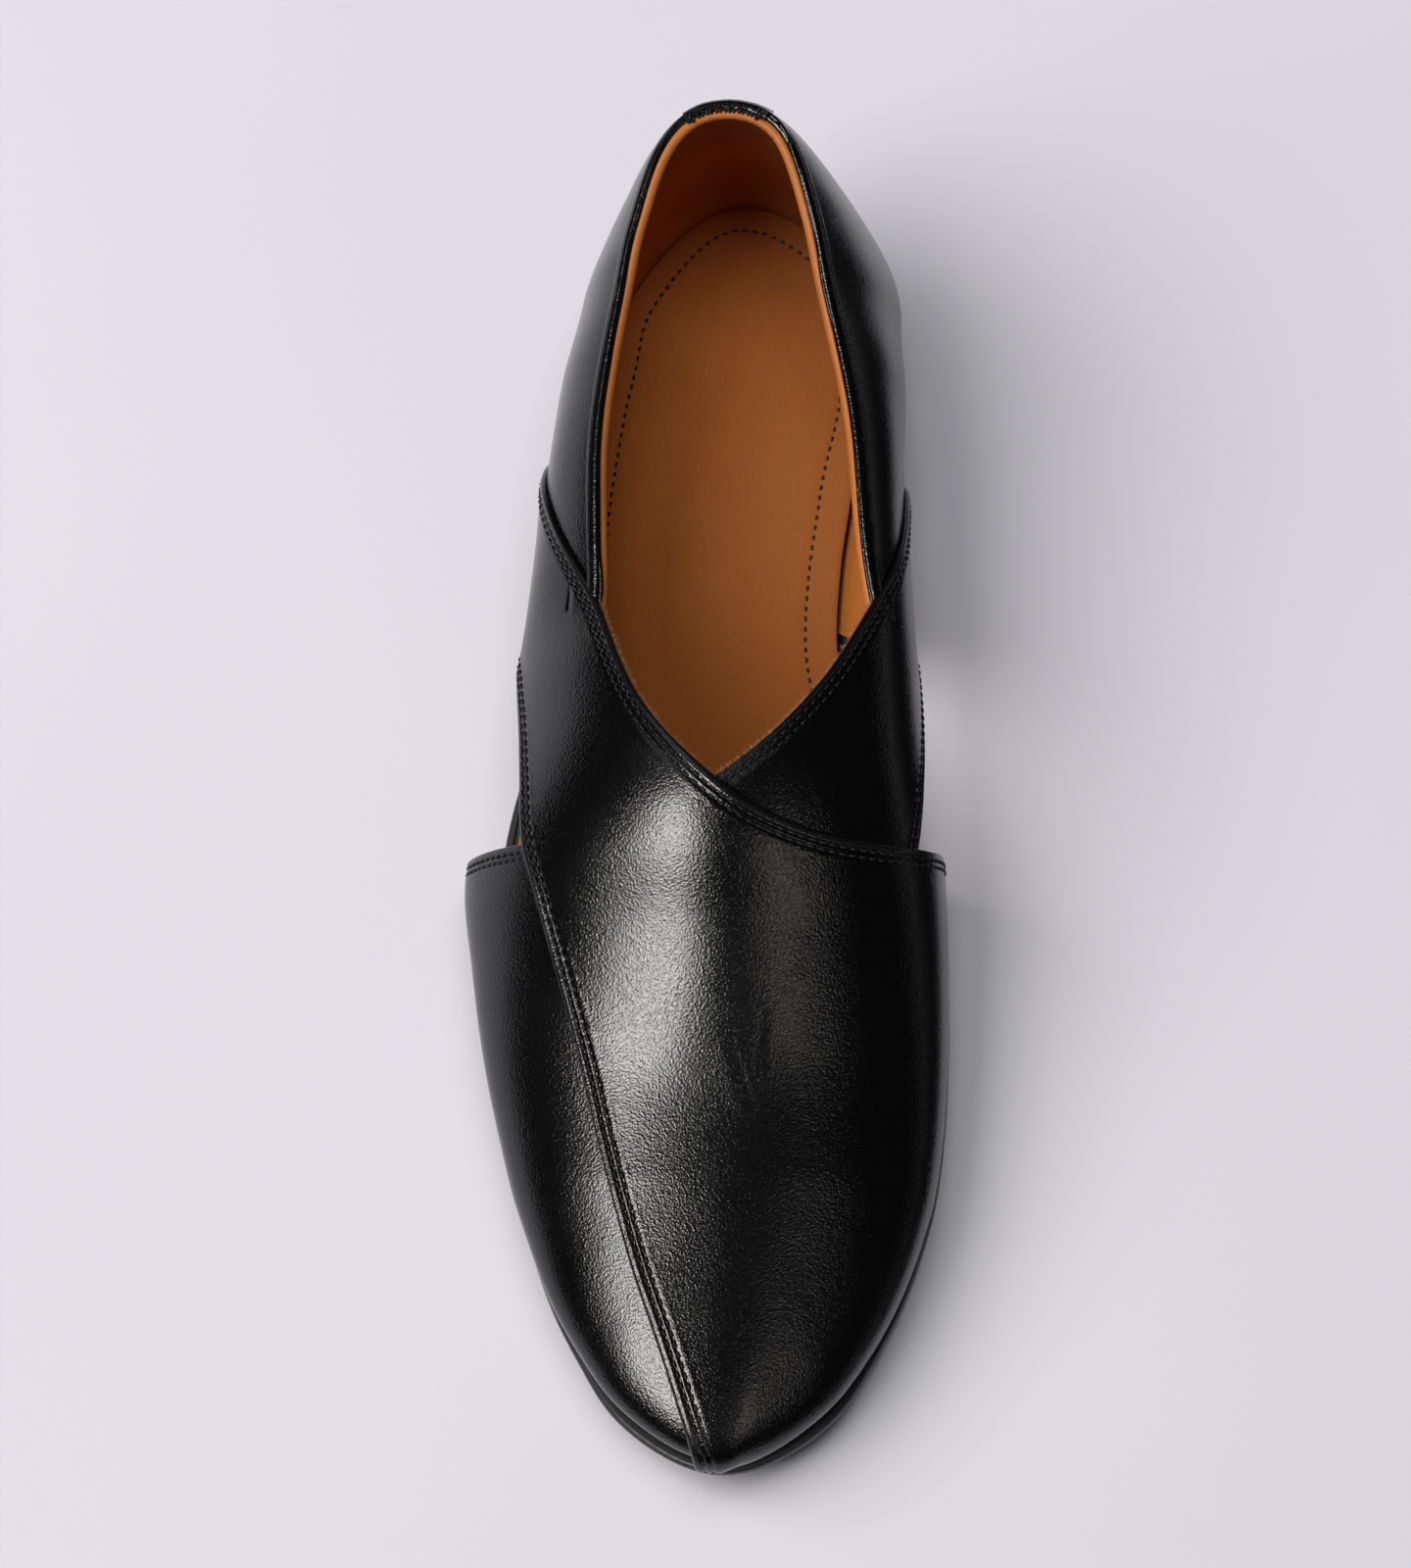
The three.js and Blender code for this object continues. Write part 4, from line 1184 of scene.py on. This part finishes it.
# Section of the tan roll inside it
LINING_ROLL = [(-1.0, -2.2), (-1.0, -0.1), (-1.35, 0.38), (-1.95, 0.55), (-2.6, 0.42), (-3.05, -0.05),
               (-3.15, -1.0), (-2.8, -2.2)]
BAND_REACH = 0.6  # the band runs on under the straps to this place


def collar_frame(line, normals):
    """The collar's line evenly spaced, with outward and upward directions."""
    keep = place(line[:, 1]) > BAND_REACH
    first, last = np.argmax(keep), len(keep) - np.argmax(keep[::-1])
    surface_normals = normals[first:last]
    path = resample(line[first:last], 1.0, smooth=40)
    lengths = np.linspace(0, 1, len(surface_normals))
    targets = np.linspace(0, 1, len(path))
    outward = np.stack([np.interp(targets, lengths, surface_normals[:, k]) for k in range(3)], 1)
    for _ in range(12):
        outward[1:-1] = (outward[:-2] + 2 * outward[1:-1] + outward[2:]) / 4
    tangent = unit(np.gradient(path, axis=0))
    outward = unit(outward - np.sum(outward * tangent, 1, keepdims=True) * tangent)
    up = np.cross(tangent, outward)
    up *= np.sign(up[:, 2:])
    return path, outward, up


def collar_pieces(line, normals):
    path, outward, up = collar_frame(line, normals)
    band = sweep("topline_band", path, outward, up, round_section(BAND, 3), BLACK)
    add_values(band, "rubbed_and_highlight", np.zeros(len(band.data.vertices)))
    finish_piece(band, "upper_leather", "upper")
    roll = sweep("lining_roll", path, outward, up, round_section(LINING_ROLL, 3), LINING)
    finish_piece(roll, "lining_leather", "upper")
    return path, outward, up


# Flat pieces under the upper, made of rings round the ribs
def ring_solid(name, rings, material, sharp=math.radians(40)):
    """A solid from closed rings, lowest in the middle first; the first and last ring lie on the centre line."""
    count = len(rings[0])
    points = np.concatenate(rings)
    faces = []
    for r in range(len(rings) - 1):
        for k in range(count):
            after = (k + 1) % count
            faces.append((r * count + k, r * count + after, (r + 1) * count + after, (r + 1) * count + k))
    return make_mesh(name, points, faces, material, sharp=sharp)


def ring(reach, height):
    p = ribs.point(reach, 0)
    p[:, 2] = height(p[:, 1])
    return p


SOLE_ROUND = 1.3
CAP_SHARES = (0.0, 0.12, 0.3, 0.5, 0.7, 0.84, 0.93)


def outsole_piece():
    """The outsole: round edge, and a groove between its rim and the upper's foot."""
    edge = ribs.sole_reach
    foot = ribs.low_radius(0)
    room = np.maximum(edge - foot, 0.6)
    r = SOLE_ROUND

    def top(drop):
        return lambda y: sole_top(y) - drop

    def low(rise):
        return lambda y: sole_bottom(y) + rise

    rings = [ring(edge * s, low(0)) for s in CAP_SHARES]
    rings += [ring(edge - inset, low(rise)) for inset, rise in ((2.5, 0), (1.1, 0.05), (0.45, 0.35), (0.1, 0.9))]
    rings += [ring(edge + 0.0, top(2.0)), ring(edge - 0.05, top(1.4)), ring(edge - 0.25, top(0.75))]
    rings += [ring(edge - 0.6, top(0.3)), ring(edge - 1.05, top(0.06))]
    rings += [ring(edge - np.minimum(r, 0.55 * room), top(0.0)), ring(edge - 0.75 * room, top(0.12))]
    rings += [ring(foot + 0.15 * room, top(0.55)), ring(foot - 0.6, top(0.6)), ring(foot - 3, top(0.3))]
    rings += [ring((foot - 3) * s, top(0.3)) for s in reversed(CAP_SHARES[:-1])]
    piece = ring_solid("sole", rings, RUBBER)
    finish_piece(piece, "sole_rubber", "outsole")
    return piece


INSOLE_STITCH_INSET = 5.4
INSOLE_STITCH_PITCH = 2.3
WAIST_INSET = 1.6  # the stitches run this much further in along the inner waist
WAIST_GAP = 0.8  # a slit is left there beside the insole
INSOLE_LIP = 0.9  # and the insole's edge curls up there
WAIST_FROM, WAIST_TO = 0.5, 0.86


def inner_waist():
    """1 on the inner side at the waist, fading to 0 at both ends of it."""
    middle = (WAIST_FROM + WAIST_TO) / 2
    half = (WAIST_TO - WAIST_FROM) / 2
    return np.where(ribs.outer < 0.5, smoothstep(1.5 * (1 - np.abs(ribs.t - middle) / half)), 0)


def insole_edge(over):
    p = ribs.point(ribs.low_radius(over), 0)
    p[:, 2] = sole_top(p[:, 1]) + over
    wall = wall_at(p) * np.hypot(1, ribs.low_slope(over))
    return ribs.low_radius(over) - wall - INSOLE_GAP - WAIST_GAP * inner_waist()


def insole_height(inset, y):
    """Top of the insole, with a soft groove under the stitches; it curls up along the inner waist."""
    groove = 0.22 * np.exp(-(((inset - INSOLE_STITCH_INSET) / 0.7) ** 2))
    edge = 0.35 * np.exp(-inset / 0.5)
    lip = INSOLE_LIP * inner_waist() * np.exp(-((inset / 2.4) ** 2))
    return sole_top(y) + GAP + INSOLE - groove - edge + lip


def insole_piece():
    edge = insole_edge(GAP + INSOLE)
    low = insole_edge(GAP)
    spread = 1 + WAIST_INSET / INSOLE_STITCH_INSET * inner_waist()

    def bottom(y):
        return sole_top(y) + GAP

    rings = [ring(low * s, bottom) for s in CAP_SHARES] + [ring(low, bottom)]
    insets = (0.0, 0.3, 0.7, 1.2, 1.8, 2.6, 3.5, 4.3, 4.9, INSOLE_STITCH_INSET, 5.9, 6.5, 7.5, 9.0)
    rings += [ring(edge - inset * spread, lambda y, inset=inset: insole_height(inset, y)) for inset in insets]
    rings += [ring((edge - insets[-1] * spread) * s, lambda y: insole_height(30, y)) for s in reversed(CAP_SHARES)]
    piece = ring_solid("sock_lining", rings, SOCK)
    finish_piece(piece, "lining_leather", "insole")
    row = INSOLE_STITCH_INSET
    line = ring(edge - row * spread, lambda y: insole_height(row, y) + 0.05)
    path = resample(np.concatenate([line, line[:1]]), INSOLE_STITCH_PITCH)
    middle = (path[:-1] + path[1:]) / 2
    up = np.tile([0.0, 0.0, 1.0], (len(middle), 1))
    capsules("insole_stitches", middle, unit(np.diff(path, axis=0)), up, 1.35, 0.31, THREAD_BROWN, "thread", 0.16)


def heel_outline(inset, bow_inset=0):
    """Closed outline of the heel: outer side, back, inner side and the hollow front."""
    first = int(np.argmax(ribs.t[:SIDE_COUNT] > BREAST))
    count = len(ribs.t)
    index = list(range(first, SIDE_COUNT)) + list(range(SIDE_COUNT, count - first + 1))
    sides = ribs.point(ribs.sole_reach - inset, 0)[index]
    a, b = sides[-1], sides[0]
    front = []
    for s in np.linspace(0, 1, 24)[1:-1]:
        p = a + (b - a) * s
        p[1] += BREAST_BOW * 4 * s * (1 - s) + bow_inset
        front.append(p)
    return np.concatenate([sides, front])


def block(name, levels, material, slot, replaced):
    """A solid between outlines, each an inset and a height function."""
    loops = []
    for inset, height in levels:
        loop = heel_outline(inset)
        loop[:, 2] = height(loop[:, 1])
        loops.append(loop)
    count = len(loops[0])
    faces = [tuple(reversed(range(count)))]
    for r in range(len(loops) - 1):
        for k in range(count):
            after = (k + 1) % count
            faces.append((r * count + k, r * count + after, (r + 1) * count + after, (r + 1) * count + k))
    faces.append(tuple((len(loops) - 1) * count + k for k in range(count)))
    piece = make_mesh(name, np.concatenate(loops), faces, material, sharp=math.radians(32))
    finish_piece(piece, slot, replaced)
    return piece


def heel_pieces():
    """The stack of leather lifts and the wearing layer under it."""
    lift = [(HEEL_TAPER + 1.0, lambda y: 0 * y), (HEEL_TAPER + 0.35, lambda y: 0 * y + 0.12),
            (HEEL_TAPER, lambda y: 0 * y + 0.6), (HEEL_TAPER, lambda y: 0 * y + TOP_LIFT - 0.35),
            (HEEL_TAPER + 0.15, lambda y: 0 * y + TOP_LIFT - 0.08), (HEEL_TAPER + 0.5, lambda y: 0 * y + TOP_LIFT)]
    block("wearing_layer", lift, RUBBER, "sole_rubber", "top_lift")
    levels = []
    layers = 3
    for k in range(layers):
        def height(share, y):
            low = TOP_LIFT + 0.05
            return low + (sole_bottom(y) + 0.05 - low) * share
        for part, dent in ((0.0, 0.45), (0.06, 0.12), (0.14, 0.0), (0.86, 0.0), (0.94, 0.12), (1.0, 0.45)):
            share = (k + part) / layers
            inset = HEEL_TAPER * (1 - share) + GAP + dent
            levels.append((inset, lambda y, share=share: height(share, y)))
    block("heel_stack", levels, STACK, "heel_stack", "heel")


# Section of the tab over the collar's band, outward and up from the collar's line
TAB = [(0.5, -6.0), (0.95, -6.2), (1.2, -5.8), (1.25, -3.0), (1.2, -1.2), (1.0, 0.0), (0.55, 0.85), (-0.2, 1.15),
       (-0.9, 1.0), (-1.35, 0.6), (-1.5, 0.0), (-1.4, -0.5), (-1.0, -0.4), (-0.4, 0.2), (0.5, -1.2)]
TAB_STITCHES = 17


def tab_piece(path, outward, up):
    """The folded leather tab over the collar at the back, gathered a little at both ends."""
    middle = int(np.argmax(path[:, 1]))
    distance = np.concatenate([[0], np.cumsum(np.linalg.norm(np.diff(path, axis=0), axis=1))])
    distance -= distance[middle]
    targets = np.linspace(-TAB_HALF_WIDTH, TAB_HALF_WIDTH, 61)

    def along(values):
        return np.stack([np.interp(targets, distance, values[:, k]) for k in range(3)], 1)

    line, out, rise = along(path), unit(along(outward)), unit(along(up))
    section = np.array(round_section(TAB, 4))
    points = []
    for k, s in enumerate(targets / TAB_HALF_WIDTH):
        end = smoothstep((abs(s) - 0.72) / 0.28)
        wave = 0.18 * math.sin(9.4 * s) + 0.12 * math.sin(21 * s + 1)
        for a, b in section:
            inside = smoothstep((-a - 0.2) / 1.5)
            scale = 1 - 0.1 * end
            points.append(line[k] + out[k] * (a * scale + 0.1 * wave) + rise[k] * (b * scale + wave * inside))
    count, size = len(targets), len(section)
    faces = []
    for k in range(count - 1):
        for c in range(size):
            after = (c + 1) % size
            faces.append((k * size + c, k * size + after, (k + 1) * size + after, (k + 1) * size + c))
    faces.append(tuple(reversed(range(size))))
    faces.append(tuple((count - 1) * size + c for c in range(size)))
    piece = make_mesh("back_tab", points, faces, BLACK, sharp=math.radians(70))
    add_values(piece, "rubbed_and_highlight", np.zeros(len(piece.data.vertices)))
    finish_piece(piece, "upper_leather", "heel_tab")
    tab_stitches(line, out, rise)


def tab_stitches(line, out, rise):
    """Oversewn thread along the tab's inner edge, in a thick bunch at each end."""
    rng = np.random.default_rng(5)
    shares = np.concatenate([np.linspace(-0.92, 0.92, TAB_STITCHES), rng.uniform(-1.02, -0.8, 7),
                             rng.uniform(0.8, 1.02, 7)])
    index = np.clip((shares + 1) / 2 * (len(line) - 1), 0, len(line) - 1).astype(int)
    bunch = np.abs(shares) > 0.78
    inward = np.where(bunch, rng.uniform(-1.5, 0.6, len(shares)), -1.4)[:, None]
    height = np.where(bunch, rng.uniform(0.5, 1.3, len(shares)), 0.35)[:, None]
    centres = line[index] + out[index] * inward + rise[index] * height
    lean = rng.uniform(-0.5, 0.5, len(shares))[:, None]
    tangent = unit(np.gradient(line, axis=0))[index]
    along = unit(-0.75 * rise[index] - 0.65 * out[index] + lean * tangent)
    up = unit(0.65 * rise[index] - 0.75 * out[index])
    capsules("tab_stitches", centres, along, up, 1.9, 0.3, THREAD_BLACK, "thread", 0.0)


def edge_fibres(edges):
    """Short raw fibres of the suede side that stand out from under the throat's edges."""
    rng = np.random.default_rng(11)
    points, faces = [], []
    for a, b in edges:
        for _ in range(rng.poisson(np.linalg.norm(b - a) * FIBRES_PER_MM)):
            root = a + (b - a) * rng.uniform()
            inward = unit(np.array([LAST_OFFSET - root[0], 10.0, 0.0]))
            way = unit(inward + rng.normal(0, 0.45, 3))
            root = root - [0, 0, 0.25]
            side = unit(np.cross(way, rng.normal(size=3)))
            tip = root + way * rng.uniform(1.1, 1.75)
            start = len(points)
            points += [root + 0.1 * side, root - 0.1 * side, root + 0.12 * np.cross(way, side), tip]
            faces += [(start + i, start + j, start + k) for i, j, k in ((0, 1, 2), (0, 3, 1), (1, 3, 2), (2, 3, 0))]
    piece = make_mesh("throat_fibres", points, faces, FIBRE)
    finish_piece(piece, "lining_leather")


def build_shoe():
    net = last_net()
    surface = Surface(net)
    line, normals = cut_pieces(net)
    owners = labels(middle_of(net))
    rows, ragged = [], []
    for label in NAMES:
        own_rows, own_ragged = leather_piece(net, owners, label)
        rows += own_rows
        ragged += own_ragged
    edge_fibres(ragged)
    lining_piece(net, owners)
    centres, along, up = stitch_rows(surface, rows)
    capsules("upper_stitches", centres, along, up, STITCH_LENGTH, THREAD / 2, THREAD_BLACK, "thread", 0.0)
    path, outward, rise = collar_pieces(line, normals)
    tab_piece(path, outward, rise)
    outsole_piece()
    insole_piece()
    heel_pieces()


build_shoe()


# Camera: the photograph's place over the shoe, turned so that the shoe is in the middle
CAMERA_PLACE = np.array([65.8, -230.0, 900.0])
CAMERA_AIM = np.array([0.4, 1.3, 30.0])
PHOTO_ELEVATION = math.radians(75)
PHOTO_FOCAL = 4255 / 1600  # focal length in heights of the picture
SENSOR = 36.0


def make_camera():
    data = bpy.data.cameras.new("camera")
    data.sensor_width = SENSOR
    data.lens = SENSOR * PHOTO_FOCAL
    data.clip_start = 0.01
    camera = bpy.data.objects.new("camera", data)
    bpy.context.scene.collection.objects.link(camera)
    forward = Vector((0, math.cos(PHOTO_ELEVATION), -math.sin(PHOTO_ELEVATION)))
    up = Vector((1, 0, 0)).cross(forward)
    level = Matrix((Vector((1, 0, 0)), up, -forward)).transposed()
    turn = forward.rotation_difference(Vector(CAMERA_AIM - CAMERA_PLACE).normalized())
    rotation = turn.to_matrix() @ level
    camera.matrix_world = Matrix.Translation(Vector(to_metres(CAMERA_PLACE))) @ rotation.to_4x4()
    bpy.context.scene.camera = camera


DARK_CARD = (80, 420, -220, 240, 2)  # its edges along x and y and its height, mm


def make_floor():
    mesh = bpy.data.meshes.new("floor")
    s = 14.0
    mesh.from_pydata([(-s, -s, 0), (s, -s, 0), (s, s, 0), (-s, s, 0)], [], [(0, 1, 2, 3)])
    mesh.materials.append(floor_material())
    floor = bpy.data.objects.new("floor", mesh)
    bpy.context.scene.collection.objects.link(floor)


def make_dark_card():
    """A dark card on the floor on the inner side, which only the gloss shows."""
    x0, x1, y0, y1, rise = DARK_CARD
    card = make_mesh("dark_card", [(x, y, rise) for x, y in ((x0, y0), (x1, y0), (x1, y1), (x0, y1))],
                     [(0, 1, 2, 3)], RUBBER)
    card.visible_camera = card.visible_diffuse = card.visible_shadow = False


def area_light(name, place_m, target_m, size, power, colour, lights, shines):
    data = bpy.data.lights.new(name, "AREA")
    data.shape = "RECTANGLE"
    data.size, data.size_y = size
    data.energy = power
    data.color = colour
    light = bpy.data.objects.new(name, data)
    light.location = place_m
    light.rotation_euler = (Vector(target_m) - Vector(place_m)).to_track_quat("-Z", "Y").to_euler()
    light.visible_diffuse = lights
    light.visible_glossy = shines
    bpy.context.scene.collection.objects.link(light)


# The studio: wide soft daylight from the outer side and overhead, and in the gloss a soft box before the toe
# on the outer side, a dim panel behind and a weak card on the inner side.
# Each: direction from the shoe, distance, size, power, colour, whether it lights surfaces, whether gloss shows it
LIGHTS = {
    "daylight": ((-0.6, 0.02, 0.8), 2.8, (2.4, 2.4), 80.0, (1.0, 0.985, 0.97), True, False),
    "overhead": ((0.1, 0.2, 1.0), 2.6, (1.2, 1.2), 26.0, (0.98, 0.98, 1.0), True, False),
    "soft_box": ((-0.47, -0.43, 0.77), 3.0, (1.1, 1.0), 64.0, (1.0, 0.965, 0.93), False, True),
    "panel": ((-0.42, 0.28, 1.0), 2.4, (1.5, 1.3), 4.0, (0.93, 0.95, 1.0), False, True),
    "card": ((0.4, -0.62, 0.78), 1.6, (0.13, 0.5), 0.95, (1.0, 0.95, 0.9), False, True),
}


def make_lights():
    world = bpy.data.worlds.new("studio")
    world.use_nodes = True
    world.node_tree.nodes["Background"].inputs["Color"].default_value = (0.86, 0.88, 0.95, 1)
    world.node_tree.nodes["Background"].inputs["Strength"].default_value = 0.022
    bpy.context.scene.world = world
    aim = Vector((0, 0, 0.03))
    for name, (direction, distance, *settings) in LIGHTS.items():
        area_light(name, aim + Vector(direction).normalized() * distance, aim, *settings)


make_camera()
make_floor()
make_dark_card()
make_lights()
bpy.context.scene.view_settings.view_transform = "Standard"
